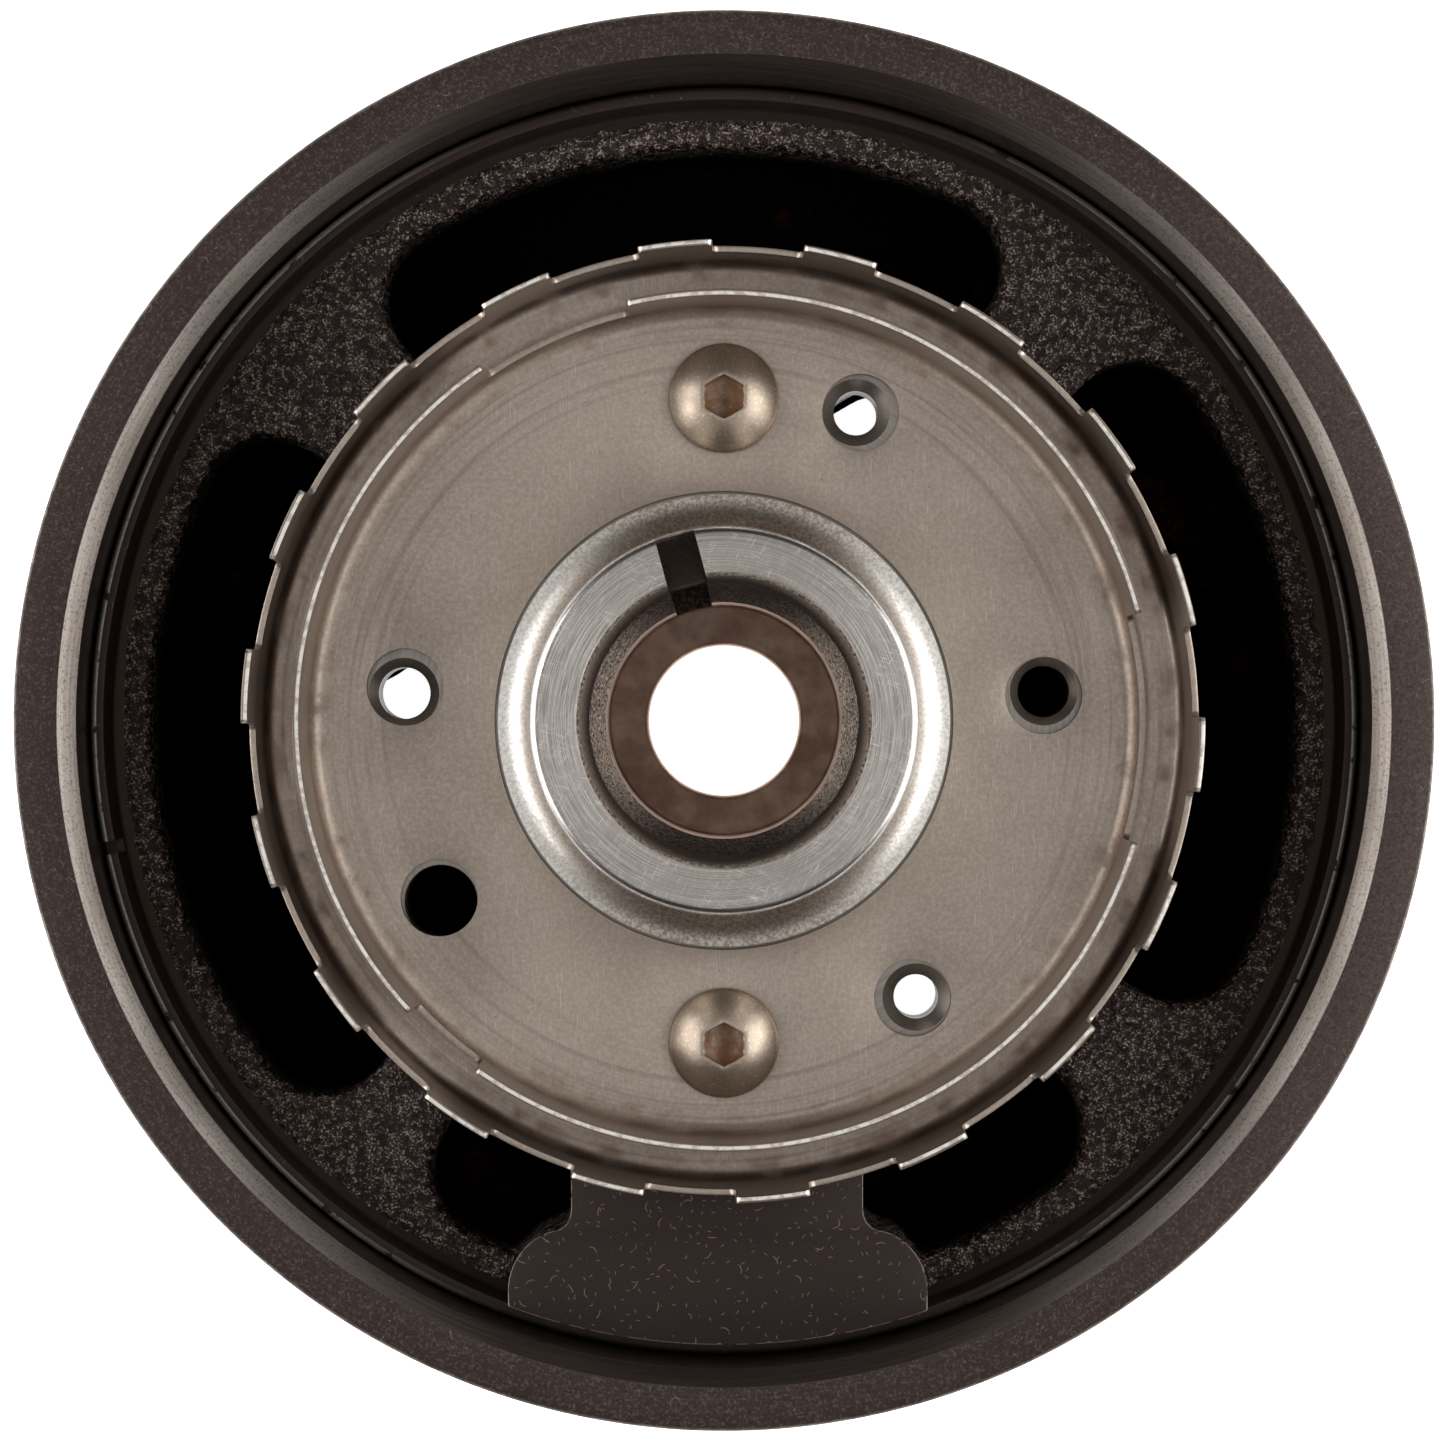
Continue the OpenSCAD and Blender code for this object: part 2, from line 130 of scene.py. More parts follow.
def new_piece(name, points, faces, sharp=30):
    """A mesh object from points in millimetres over the seat, smooth but for edges over an angle."""
    mesh = bpy.data.meshes.new(name)
    co = np.array(points, float)
    co[:, 2] += SEAT
    mesh.from_pydata((co * MM).tolist(), [], faces)
    mesh.validate()
    obj = add_object(name, mesh)
    shade(obj, sharp)
    return obj


def shade(obj, sharp):
    """Smooth shading with creases where faces meet at more than an angle."""
    obj.data.polygons.foreach_set("use_smooth", np.ones(len(obj.data.polygons), bool))
    obj.data.set_sharp_from_angle(angle=math.radians(sharp))


def rounded(corners, steps):
    """A closed outline from (x, y, radius) corners, each one rounded by an arc."""
    points = []
    for i, (x, y, radius) in enumerate(corners):
        corner = Vector((x, y))
        before = (Vector(corners[i - 1][:2]) - corner).normalized()
        after = (Vector(corners[(i + 1) % len(corners)][:2]) - corner).normalized()
        if radius == 0:
            points.append(tuple(corner))
            continue
        half = before.angle(after) / 2
        start = corner + before * radius / math.tan(half)
        end = corner + after * radius / math.tan(half)
        centre = corner + (before + after).normalized() * radius / math.sin(half)
        a0 = math.atan2(*(start - centre).yx)
        sweep = (math.atan2(*(end - centre).yx) - a0 + math.pi) % (2 * math.pi) - math.pi
        for k in range(steps + 1):
            a = a0 + sweep * k / steps
            points.append((centre.x + radius * math.cos(a), centre.y + radius * math.sin(a)))
    return points


def arc(cx, cy, radius, a0, a1, steps):
    """Points on an arc between two angles in degrees, as sharp corners of an outline."""
    angles = [math.radians(a0 + (a1 - a0) * k / steps) for k in range(steps + 1)]
    return [(cx + radius * math.cos(a), cy + radius * math.sin(a), 0) for a in angles]


def lathe(name, outline, segments, sharp=30):
    """A closed outline of (radius, height) points turned round the axis."""
    n = len(outline)
    angles = np.arange(segments) * 2 * math.pi / segments
    radii, heights = np.array(outline).T
    x = np.outer(np.cos(angles), radii)
    y = np.outer(np.sin(angles), radii)
    z = np.outer(np.ones(segments), heights)
    points = np.stack([x, y, z], axis=-1).reshape(-1, 3)
    faces = []
    for s in range(segments):
        t = (s + 1) % segments
        for i in range(n):
            j = (i + 1) % n
            faces.append((s * n + i, t * n + i, t * n + j, s * n + j))
    obj = new_piece(name, points, faces, sharp)
    make_outward(obj, sharp)
    return obj


def make_outward(obj, sharp):
    """Turns every face outward."""
    bm = bmesh.new()
    bm.from_mesh(obj.data)
    bmesh.ops.recalc_face_normals(bm, faces=bm.faces)
    bm.to_mesh(obj.data)
    bm.free()
    shade(obj, sharp)


def weld(obj, distance):
    """Joins points closer than a distance in millimetres and drops those that no face uses."""
    bm = bmesh.new()
    bm.from_mesh(obj.data)
    bmesh.ops.remove_doubles(bm, verts=bm.verts, dist=distance * MM)
    bmesh.ops.delete(bm, geom=[v for v in bm.verts if not v.link_faces], context="VERTS")
    bm.to_mesh(obj.data)
    bm.free()


def bake_modifiers(obj):
    """Applies an object's modifiers to its mesh."""
    graph = bpy.context.evaluated_depsgraph_get()
    mesh = bpy.data.meshes.new_from_object(obj.evaluated_get(graph))
    obj.modifiers.clear()
    old = obj.data
    obj.data = mesh
    bpy.data.meshes.remove(old)
    mesh.name = obj.name


def cut_away(obj, tool):
    """Cuts a tool's shape out of an object and removes the tool."""
    cut = obj.modifiers.new("cut", "BOOLEAN")
    cut.operation = "DIFFERENCE"
    cut.solver = "EXACT"
    cut.object = tool
    bake_modifiers(obj)
    bpy.data.objects.remove(tool)


def break_edges(obj, width, angle):
    """Bevels the edges sharper than an angle by a width in millimetres."""
    soft = obj.modifiers.new("edges", "BEVEL")
    soft.width = width * MM
    soft.segments = 2
    soft.limit_method = "ANGLE"
    soft.angle_limit = math.radians(angle)
    bake_modifiers(obj)


def circle(x, y, radius, n):
    """Points round a circle."""
    turns = [2 * math.pi * k / n for k in range(n)]
    return [(x + radius * math.cos(a), y + radius * math.sin(a)) for a in turns]


def drawn_out(n):
    """Faces of a solid between two outlines of n points."""
    side_lit = [(i, (i + 1) % n, n + (i + 1) % n, n + i) for i in range(n)]
    return side_lit + [tuple(reversed(range(n))), tuple(range(n, 2 * n))]


def cylinder(radius, z0, z1, x, y, segments):
    """A plain cylinder to cut with."""
    points = [(*p, z) for z in (z0, z1) for p in circle(x, y, radius, segments)]
    return new_piece("cutter", points, drawn_out(segments))


def block(x0, x1, y0, y1, z0, z1, angle):
    """A plain box to cut with, turned round the axis by an angle."""
    points = [(x, y, z) for x in (x0, x1) for y in (y0, y1) for z in (z0, z1)]
    faces = [(0, 1, 3, 2), (4, 6, 7, 5), (0, 4, 5, 1), (2, 3, 7, 6), (0, 2, 6, 4), (1, 5, 7, 3)]
    c, s = math.cos(math.radians(angle)), math.sin(math.radians(angle))
    turned = [(c * x - s * y, s * x + c * y, z) for x, y, z in points]
    return new_piece("cutter", turned, faces)


def copy_of_node(name, node):
    """A new object with the mesh of a CAD node, its doubled points joined."""
    obj = add_object(name, frame["nodes"][node].data.copy())
    obj.data.name = name
    obj.data.materials.clear()
    weld(obj, 0.002)
    if obj.data.has_custom_normals:
        obj.data.attributes.remove(obj.data.attributes["custom_normal"])
    return obj


def polar_point(radius, angle):
    """The point at a distance and an angle in degrees round the axis."""
    a = math.radians(angle)
    return radius * math.cos(a), radius * math.sin(a)


# ---------------------------------------------------------------------------
# Materials
# ---------------------------------------------------------------------------
class Shader:
    """Builds a material out of nodes round one Principled shader, from the object's own coordinates."""

    def __init__(self, name):
        self.material = bpy.data.materials.new(name)
        self.material.use_nodes = True
        self.tree = self.material.node_tree
        self.tree.nodes.clear()
        output = self.tree.nodes.new("ShaderNodeOutputMaterial")
        self.shader = self.tree.nodes.new("ShaderNodeBsdfPrincipled")
        self.tree.links.new(self.shader.outputs["BSDF"], output.inputs["Surface"])
        self.place = self.tree.nodes.new("ShaderNodeTexCoord").outputs["Object"]
        split = self.node("ShaderNodeSeparateXYZ", Vector=self.place)
        self.x, self.y, self.z = split.outputs
        flat = self.node("ShaderNodeCombineXYZ", X=self.x, Y=self.y)
        self.r = self.node("ShaderNodeVectorMath", "LENGTH", Vector=flat.outputs[0]).outputs["Value"]
        geometry = self.tree.nodes.new("ShaderNodeNewGeometry")
        self.up = self.node("ShaderNodeSeparateXYZ", Vector=geometry.outputs["Normal"]).outputs["Z"]

    def node(self, kind, operation=None, **sockets):
        made = self.tree.nodes.new(kind)
        if operation:
            made.operation = operation
        for name, value in sockets.items():
            self.put(made.inputs[name], value)
        return made

    def put(self, socket, value):
        if isinstance(value, bpy.types.NodeSocket):
            self.tree.links.new(value, socket)
        else:
            socket.default_value = value

    def math(self, operation, a, b=0.0, c=0.0):
        made = self.tree.nodes.new("ShaderNodeMath")
        made.operation = operation
        for socket, value in zip(made.inputs, (a, b, c)):
            self.put(socket, value)
        return made.outputs[0]

    def fade(self, value, low, high, to_low=0.0, to_high=1.0):
        """Runs smoothly from to_low to to_high as value goes from low to high."""
        made = self.tree.nodes.new("ShaderNodeMapRange")
        made.interpolation_type = "SMOOTHSTEP"
        for socket, number in zip(made.inputs, (value, low, high, to_low, to_high)):
            self.put(socket, number)
        return made.outputs["Result"]

    def height(self, low, high, to_low=0.0, to_high=1.0):
        """Runs from to_low to to_high between two heights over the seat in millimetres."""
        return self.fade(self.z, (SEAT + low) * MM, (SEAT + high) * MM, to_low, to_high)

    def reach(self, low, high, to_low=0.0, to_high=1.0):
        """Runs from to_low to to_high between two distances from the axis in millimetres."""
        return self.fade(self.r, low * MM, high * MM, to_low, to_high)

    def times(self, first, *others):
        """The product of two or more numbers."""
        for other in others:
            first = self.math("MULTIPLY", first, other)
        return first

    def band(self, value, low, high, soft):
        """One between low and high and nothing outside."""
        rise = self.fade(value, low - soft, low + soft)
        fall = self.fade(value, high - soft, high + soft, 1.0, 0.0)
        return self.times(rise, fall)

    def noise(self, size, detail=2.0, rough=0.5, at=None, distort=0.0):
        """Noise from 0 to 1 with features of a size in millimetres."""
        made = self.node("ShaderNodeTexNoise", Vector=at or self.place)
        made.inputs["Scale"].default_value = 1 / (size * MM)
        made.inputs["Detail"].default_value = detail
        made.inputs["Roughness"].default_value = rough
        made.inputs["Distortion"].default_value = distort
        return made.outputs["Fac"]

    def specks(self, spacing, size, share):
        """Round specks of a size in millimetres, on a share of the cells of a jittered grid."""
        made = self.node("ShaderNodeTexVoronoi", Vector=self.place)
        made.inputs["Scale"].default_value = 1 / (spacing * MM)
        near = self.fade(made.outputs["Distance"], size / spacing * 0.35, size / spacing * 0.6, 1.0, 0.0)
        pick = self.node("ShaderNodeSeparateColor", Color=made.outputs["Color"]).outputs[0]
        return self.times(near, self.fade(pick, 1 - share, 1 - share + 0.02))

    def spun(self, vector, angle):
        """A vector turned round the Z axis."""
        made = self.node("ShaderNodeVectorRotate")
        made.rotation_type = "Z_AXIS"
        self.put(made.inputs["Vector"], vector)
        self.put(made.inputs["Angle"], angle)
        return made.outputs[0]

    def hairs(self, spacing, length, width, share):
        """Short curled hairs of lint, at most one to a cell of a jittered grid."""
        cell = self.node("ShaderNodeTexVoronoi", Vector=self.place)
        cell.voronoi_dimensions = "2D"
        cell.inputs["Scale"].default_value = 1 / (spacing * MM)
        away = self.node("ShaderNodeVectorMath", "SUBTRACT")
        self.put(away.inputs[0], self.place)
        self.put(away.inputs[1], cell.outputs["Position"])
        pick = self.node("ShaderNodeSeparateColor", Color=cell.outputs["Color"]).outputs
        lain = self.spun(away.outputs[0], self.times(pick[0], 2 * math.pi))
        along, across, _ = self.node("ShaderNodeSeparateXYZ", Vector=lain).outputs
        curl = self.times(along, along, self.fade(pick[1], 0, 1, -900, 900))
        off = self.math("ABSOLUTE", self.math("ADD", across, curl))
        thin = self.fade(off, width * 0.4 * MM, width * MM, 1.0, 0.0)
        short = self.fade(self.math("ABSOLUTE", along), length * 0.4 * MM, length * 0.5 * MM, 1.0, 0.0)
        chosen = self.fade(pick[2], 1 - share, 1.02 - share)
        return self.times(thin, short, chosen)

    def scratches(self, angle, size):
        """Fine straight scratches along one direction, as a noise from 0 to 1."""
        lain = self.spun(self.place, math.radians(angle))
        drawn = self.node("ShaderNodeVectorMath", "MULTIPLY", Vector=lain)
        drawn.inputs[1].default_value = (0.05, 1, 1)
        return self.noise(size, 2.0, 0.6, at=drawn.outputs[0])

    def turned(self, size, detail=3.0):
        """Concentric tool marks: noise that varies across the marks and hardly along them."""
        slow = self.node("ShaderNodeVectorMath", "SCALE", Vector=self.place)
        slow.inputs["Scale"].default_value = 0.02
        lift = self.node("ShaderNodeCombineXYZ", X=self.r, Z=self.z)
        where = self.node("ShaderNodeVectorMath", "ADD")
        self.put(where.inputs[0], slow.outputs[0])
        self.put(where.inputs[1], lift.outputs[0])
        return self.noise(size, detail, 0.6, at=where.outputs[0])

    def mix(self, share, a, b):
        """Colour a where share is 0 and colour b where it is 1."""
        made = self.tree.nodes.new("ShaderNodeMix")
        made.data_type = "RGBA"
        self.put(made.inputs["Factor"], share)
        for socket, value in zip((made.inputs[6], made.inputs[7]), (a, b)):
            self.put(socket, value if isinstance(value, bpy.types.NodeSocket) else (*value, 1.0))
        return made.outputs[2]

    def blend(self, share, a, b):
        """Number a where share is 0 and number b where it is 1."""
        made = self.tree.nodes.new("ShaderNodeMix")
        for socket, value in zip(made.inputs[:4], (share, None, a, b)):
            if value is not None:
                self.put(socket, value)
        return made.outputs[0]

    def bump(self, height, distance, strength=1.0, under=None):
        """Bump from a height of 0 to 1, that deep in millimetres."""
        made = self.node("ShaderNodeBump", Height=height, Distance=distance * MM, Strength=strength)
        if under:
            self.put(made.inputs["Normal"], under)
        return made.outputs["Normal"]

    def finish(self, **sockets):
        for name, value in sockets.items():
            self.put(self.shader.inputs[name.replace("_", " ")], value)
        return self.material


WARM_SHEEN = (1.0, 0.80, 0.74, 1.0)


def dusted(s, colour, dust=0.5, lint=0.5):
    """Pale dust specks and lint over a colour, on faces that look up."""
    up = s.fade(s.up, 0.6, 0.9)
    specks = s.math("MAXIMUM", s.specks(0.8, 0.12, 0.35), s.specks(2.8, 0.24, 0.4))
    hairs = s.math("MAXIMUM", s.hairs(1.3, 0.55, 0.05, lint * 0.5), s.hairs(3.1, 1.3, 0.06, lint * 0.5))
    both = s.math("MAXIMUM", specks, s.times(hairs, 0.7))
    share = s.times(both, up, dust)
    return s.mix(share, colour, (0.40, 0.34, 0.30))


def painted_side_light(s):
    """One at the left and right of the part and nothing at its top and bottom: the share of painted side
    light, lit at the left and right and in painted shade at the top and bottom.
    """
    return s.fade(s.math("DIVIDE", s.math("ABSOLUTE", s.x), s.r), 0.28, 1.05)


def ring_paint():
    """Satin black paint over turned iron, with a bare chamfer at the bore and worn corners; a painted
    highlight lightens the face towards the right, and painted shade darkens the chamfer at the top and
    bottom.
    """
    s = Shader("ring_paint")
    marks = s.turned(0.28)
    broad = s.noise(14, 3.0)
    paint = s.mix(broad, (0.010, 0.0062, 0.0056), (0.024, 0.0165, 0.0150))
    paint = s.mix(s.fade(marks, 0.5, 0.8, 0.0, 0.7), paint, (0.060, 0.046, 0.042))
    # Painted highlight: the face is painted lighter towards the right, where the right lamp lights it more.
    right = s.fade(s.x, 0.045, 0.088, 0.0, 0.55)
    paint = s.mix(right, paint, (0.058, 0.047, 0.043))
    grit = s.noise(0.34, 2.0, 0.6)
    paint = s.mix(s.fade(grit, 0.5, 0.7, 0.0, 0.8), paint, (0.085, 0.066, 0.060))
    paint = s.mix(s.fade(grit, 0.3, 0.48, 0.7, 0.0), paint, (0.004, 0.0022, 0.0020))
    paint = dusted(s, paint, 0.5, 0.2)
    bare = s.mix(s.turned(0.3), (0.26, 0.245, 0.23), (0.84, 0.81, 0.78))
    sand = s.noise(0.38, 3.0, 0.6)
    bare = s.mix(s.fade(sand, 0.5, 0.68, 0.0, 0.6), bare, (0.16, 0.145, 0.13))
    # Painted shade: the bare chamfer is darkened at the top and bottom and left light at the left and right,
    # as the side lamps light it.
    bare = s.mix(painted_side_light(s), (0.10, 0.085, 0.076), bare)
    chamfer = s.times(
        s.band(s.r, RING_BORE_R * MM, (RING_BORE_R + RING_CHAMFER) * MM, 0.00006),
        s.height(RING_TOP - RING_CHAMFER - 0.1, RING_TOP - RING_CHAMFER + 0.05),
    )
    ragged = s.noise(1.3, 4.0, 0.7)
    corner = s.times(s.reach(RING_R - 0.45, RING_R - 0.2), s.height(RING_TOP - 0.5, RING_TOP - 0.25))
    worn = s.times(corner, s.fade(ragged, 0.40, 0.60, 0.3, 0.8))
    metal = s.math("MAXIMUM", chamfer, worn)
    colour = s.mix(worn, s.mix(chamfer, paint, bare), (0.30, 0.265, 0.24))
    rough = s.blend(metal, s.fade(marks, 0.3, 0.7, 0.50, 0.40), s.fade(marks, 0.3, 0.7, 0.52, 0.42))
    normal = s.bump(marks, 0.03, 0.6)
    normal = s.bump(s.noise(0.35, 3.0), 0.012, 0.5, normal)
    normal = s.bump(sand, 0.03, s.times(chamfer, 0.6), normal)
    return s.finish(
        Base_Color=colour, Metallic=metal, Roughness=rough, Normal=normal,
        Specular_IOR_Level=0.5, Specular_Tint=WARM_SHEEN,
    )


def rubber():
    """Moulded rubber with a dull, slightly mottled skin."""
    s = Shader("moulded_rubber")
    mottle = s.noise(3.0, 4.0)
    colour = s.mix(mottle, (0.008, 0.006, 0.006), (0.022, 0.017, 0.016))
    normal = s.bump(s.noise(0.4, 3.0), 0.03, 0.6)
    return s.finish(Base_Color=colour, Roughness=s.fade(mottle, 0.3, 0.7, 0.62, 0.8), Normal=normal)


def cast_iron():
    """Painted rough casting: sandy grain with painted glints, dust, and rust in the dark pockets, whose
    darkness is painted shade.
    """
    s = Shader("cast_iron_paint")
    grain = s.noise(0.95, 4.0, 0.62)
    fine = s.noise(0.30, 2.0, 0.5)
    lumps = s.noise(3.2, 3.0, 0.5)
    dark = s.mix(lumps, (0.0024, 0.0013, 0.0011), (0.0070, 0.0044, 0.0038))
    colour = s.mix(s.fade(grain, 0.48, 0.66, 0.0, 0.8), dark, (0.050, 0.037, 0.033))
    # Painted highlights: bright grains in the colour stand for glints of the lamps on the grain.
    painted_glint = s.times(s.fade(grain, 0.43, 0.58), s.fade(fine, 0.50, 0.64))
    colour = s.mix(painted_glint, colour, (0.30, 0.245, 0.22))
    colour = s.mix(s.times(s.specks(3.1, 0.26, 0.3), 0.4), colour, (0.40, 0.34, 0.30))
    # Painted shade: from 13.5 mm to 24 mm under the seat the colour turns nearly black, with real rust
    # patches and dust dots kept in it.
    shallow = s.height(-24, -13.5)
    rust = s.times(s.fade(s.noise(11, 4.0, 0.6), 0.6, 0.72), s.fade(fine, 0.4, 0.6))
    painted_shade_and_rust = s.mix(rust, (0.0016, 0.0010, 0.0009), (0.020, 0.0065, 0.0025))
    dots = s.times(s.specks(2.6, 0.16, 0.18), s.fade(s.up, 0.6, 0.9))
    painted_shade_and_rust = s.mix(dots, painted_shade_and_rust, (0.13, 0.10, 0.08))
    colour = s.mix(shallow, painted_shade_and_rust, colour)
    normal = s.bump(lumps, 0.5, 0.7)
    normal = s.bump(grain, 0.55, 1.0, normal)
    rough = s.fade(grain, 0.35, 0.7, 0.36, 0.24)
    return s.finish(
        Base_Color=colour, Roughness=rough, Normal=normal,
        Specular_IOR_Level=s.times(shallow, s.fade(painted_glint, 0, 1, 0.34, 1.0)), Specular_Tint=WARM_SHEEN,
    )


def machined_black():
    """Painted turned iron of the hub's lip, with a bare worn edge, kept to the left and right as a painted
    highlight.
    """
    s = Shader("lip_paint")
    marks = s.turned(0.2)
    paint = s.mix(marks, (0.008, 0.005, 0.0045), (0.024, 0.0165, 0.015))
    paint = dusted(s, paint, 0.4, 0.15)
    bare = s.mix(s.noise(0.45, 3.0, 0.7), (0.20, 0.18, 0.16), (0.85, 0.81, 0.77))
    edge = s.times(
        s.reach(81.9, 82.06),
        s.height(LIP_Z - 0.95, LIP_Z - 0.6),
    )
    worn = s.times(edge, s.fade(s.noise(2.5, 4.0, 0.6), 0.34, 0.44))
    # The bare edge is partly wear and partly a painted highlight: it is kept to the left and right, where the
    # side lamps light it.
    worn = s.times(worn, painted_side_light(s))
    colour = s.mix(worn, paint, bare)
    rough = s.blend(worn, 0.44, 0.42)
    return s.finish(
        Base_Color=colour, Metallic=worn, Roughness=rough, Normal=s.bump(marks, 0.02, 0.5),
        Specular_IOR_Level=0.45, Specular_Tint=WARM_SHEEN,
    )


def pad_paint():
    """Satin black milled face of the counterweight pad, dusty, with a thin bare outline."""
    s = Shader("pad_paint")
    mottle = s.noise(0.5, 4.0, 0.6)
    colour = s.mix(mottle, (0.0055, 0.0034, 0.0030), (0.015, 0.0100, 0.0090))
    colour = dusted(s, colour, 0.55, 0.9)
    edge = s.fade(s.up, 0.9, 0.97, 1.0, 0.0)
    top = s.height(-0.5, -0.3)
    worn = s.times(edge, top, s.fade(s.noise(1.5, 3.0), 0.35, 0.5))
    colour = s.mix(worn, colour, (0.42, 0.38, 0.35))
    rough = s.fade(mottle, 0.3, 0.7, 0.52, 0.42)
    return s.finish(
        Base_Color=colour, Metallic=worn, Roughness=rough, Normal=s.bump(mottle, 0.02, 0.6),
        Specular_IOR_Level=0.4, Specular_Tint=WARM_SHEEN,
    )


def seat_steel():
    """Turned face of the hub under the vane rings."""
    s = Shader("seat_steel")
    marks = s.turned(0.25)
    colour = s.mix(marks, (0.20, 0.180, 0.16), (0.42, 0.39, 0.36))
    deep = s.height(-4, -2, 1.0, 0.0)
    colour = s.mix(deep, colour, (0.030, 0.021, 0.018))
    rough = s.fade(marks, 0.3, 0.7, 0.42, 0.28)
    metallic = s.fade(deep, 0, 1, 1.0, 0.3)
    return s.finish(Base_Color=colour, Metallic=metallic, Roughness=rough, Normal=s.bump(marks, 0.03, 0.5))


def nose_steel():
    """Polished nose, with a brushed end face, a grainy cone, a dark keyway and browned bores; the end face,
    the fillet and the cone carry painted light at the left and right and painted shade at the top and bottom.
    """
    s = Shader("nose_steel")
    marks = s.turned(0.13)
    grain = s.noise(0.45, 4.0, 0.7)
    side_lit = painted_side_light(s)
    bright = s.mix(s.fade(marks, 0.3, 0.7), (0.30, 0.275, 0.255), (0.70, 0.67, 0.645))
    # Painted shade: the end face is darker at the top and bottom, as the side lamps light it at the left and
    # right.
    bright = s.mix(s.fade(side_lit, 0, 1, 0.45, 0.0), bright, (0.32, 0.285, 0.265))
    cross = s.times(s.fade(s.scratches(20, 0.12), 0.56, 0.68), s.fade(s.noise(6.0, 2.0), 0.45, 0.6))
    cross = s.math("MAXIMUM", cross, s.times(s.fade(s.scratches(-62, 0.12), 0.58, 0.7), 0.8))
    bright = s.mix(s.times(cross, 0.8), bright, (0.95, 0.93, 0.91))
    smudge = s.noise(5.0, 3.0)
    bright = s.mix(s.fade(smudge, 0.5, 0.75, 0.0, 0.45), bright, (0.35, 0.32, 0.30))
    bright = s.mix(s.times(s.specks(1.5, 0.2, 0.4), 0.5), bright, (0.16, 0.13, 0.11))
    lower = s.height(NOSE_TOP - 0.7, NOSE_TOP - 0.2, 1.0, 0.0)
    hollow = s.mix(s.fade(grain, 0.4, 0.62), (0.30, 0.255, 0.215), (0.60, 0.55, 0.50))
    # Painted highlight: the fillet is painted lighter at the left and right.
    hollow = s.mix(side_lit, hollow, s.mix(s.fade(grain, 0.35, 0.6), (0.72, 0.69, 0.65), (0.98, 0.97, 0.95)))
    bright = s.mix(lower, bright, hollow)
    inside = s.reach(RELIEF_R + 0.3, RELIEF_R + 0.5, 1.0, 0.0)
    wall = s.mix(s.fade(grain, 0.35, 0.65), (0.05, 0.036, 0.028), (0.30, 0.245, 0.205))
    # The cone's grain in a lit and a shaded copy, mixed by the painted side light: painted light at the left
    # and right, painted shade at the top and bottom.
    cone_painted_shade = s.mix(s.fade(grain, 0.45, 0.6), (0.030, 0.021, 0.016), (0.30, 0.240, 0.195))
    cone_painted_light = s.mix(s.fade(grain, 0.42, 0.58), (0.10, 0.076, 0.060), (1.0, 0.92, 0.80))
    on_cone = s.band(s.z, (SEAT + CRANK_BACK) * MM, (SEAT + RELIEF_END) * MM, 0.0002)
    below = s.height(CRANK_BACK - 0.1, CRANK_BACK + 0.1, 1.0, 0.0)
    mottle = s.fade(s.noise(4.5, 4.0, 0.55), 0.3, 0.7)
    brown = s.mix(mottle, (0.50, 0.345, 0.265), (0.82, 0.66, 0.55))
    brown = s.mix(s.times(s.specks(1.3, 0.2, 0.3), 0.5), brown, (0.10, 0.06, 0.04))
    inner = s.mix(on_cone, wall, s.mix(side_lit, cone_painted_shade, cone_painted_light))
    inner = s.mix(below, inner, brown)
    colour = s.mix(inside, bright, inner)
    turned = s.spun(s.place, -math.radians(KEY_ANGLE))
    along, across, _ = s.node("ShaderNodeSeparateXYZ", Vector=turned).outputs
    slot = s.fade(s.math("ABSOLUTE", across), (KEY_W / 2 + 0.03) * MM, (KEY_W / 2 + 0.08) * MM, 1.0, 0.0)
    slot = s.times(slot, s.fade(along, 0.004, 0.006))
    slot = s.times(slot, s.reach(KEY_MOUTH_R + 0.1, KEY_MOUTH_R + 0.3, 1.0, 0.0))
    slot = s.times(slot, s.band(s.z, (SEAT + SHOULDER + 0.5) * MM, (SEAT + NOSE_TOP - 0.2) * MM, 0.0001))
    colour = s.mix(slot, colour, s.mix(s.fade(grain, 0.4, 0.62), (0.055, 0.040, 0.032), (0.26, 0.205, 0.165)))
    rough = s.blend(lower, s.fade(marks, 0.3, 0.7, 0.34, 0.22), s.fade(grain, 0.3, 0.7, 0.46, 0.34))
    dull = s.math("MAXIMUM", slot, s.times(inside, s.math("SUBTRACT", 1.0, below)))
    rough = s.blend(below, s.blend(dull, rough, 0.9), s.fade(grain, 0.3, 0.7, 0.6, 0.45))
    normal = s.bump(marks, 0.02, s.blend(lower, 0.6, 0.1))
    normal = s.bump(grain, 0.06, s.blend(inside, s.times(lower, 0.3), 0.9), normal)
    metallic = s.blend(dull, s.blend(below, 1.0, 0.5), 0.0)
    spark = s.times(s.fade(grain, 0.46, 0.56), on_cone, s.fade(side_lit, 0, 1, 0.15, 1.0))
    spark = s.times(spark, inside, s.math("SUBTRACT", 1.0, slot))
    metallic = s.math("MAXIMUM", metallic, s.times(spark, 0.9))
    rough = s.blend(spark, rough, 0.55)
    return s.finish(
        Base_Color=colour, Metallic=metallic, Roughness=rough, Normal=normal,
        Specular_IOR_Level=s.fade(dull, 0, 1, 0.5, 0.05),
    )


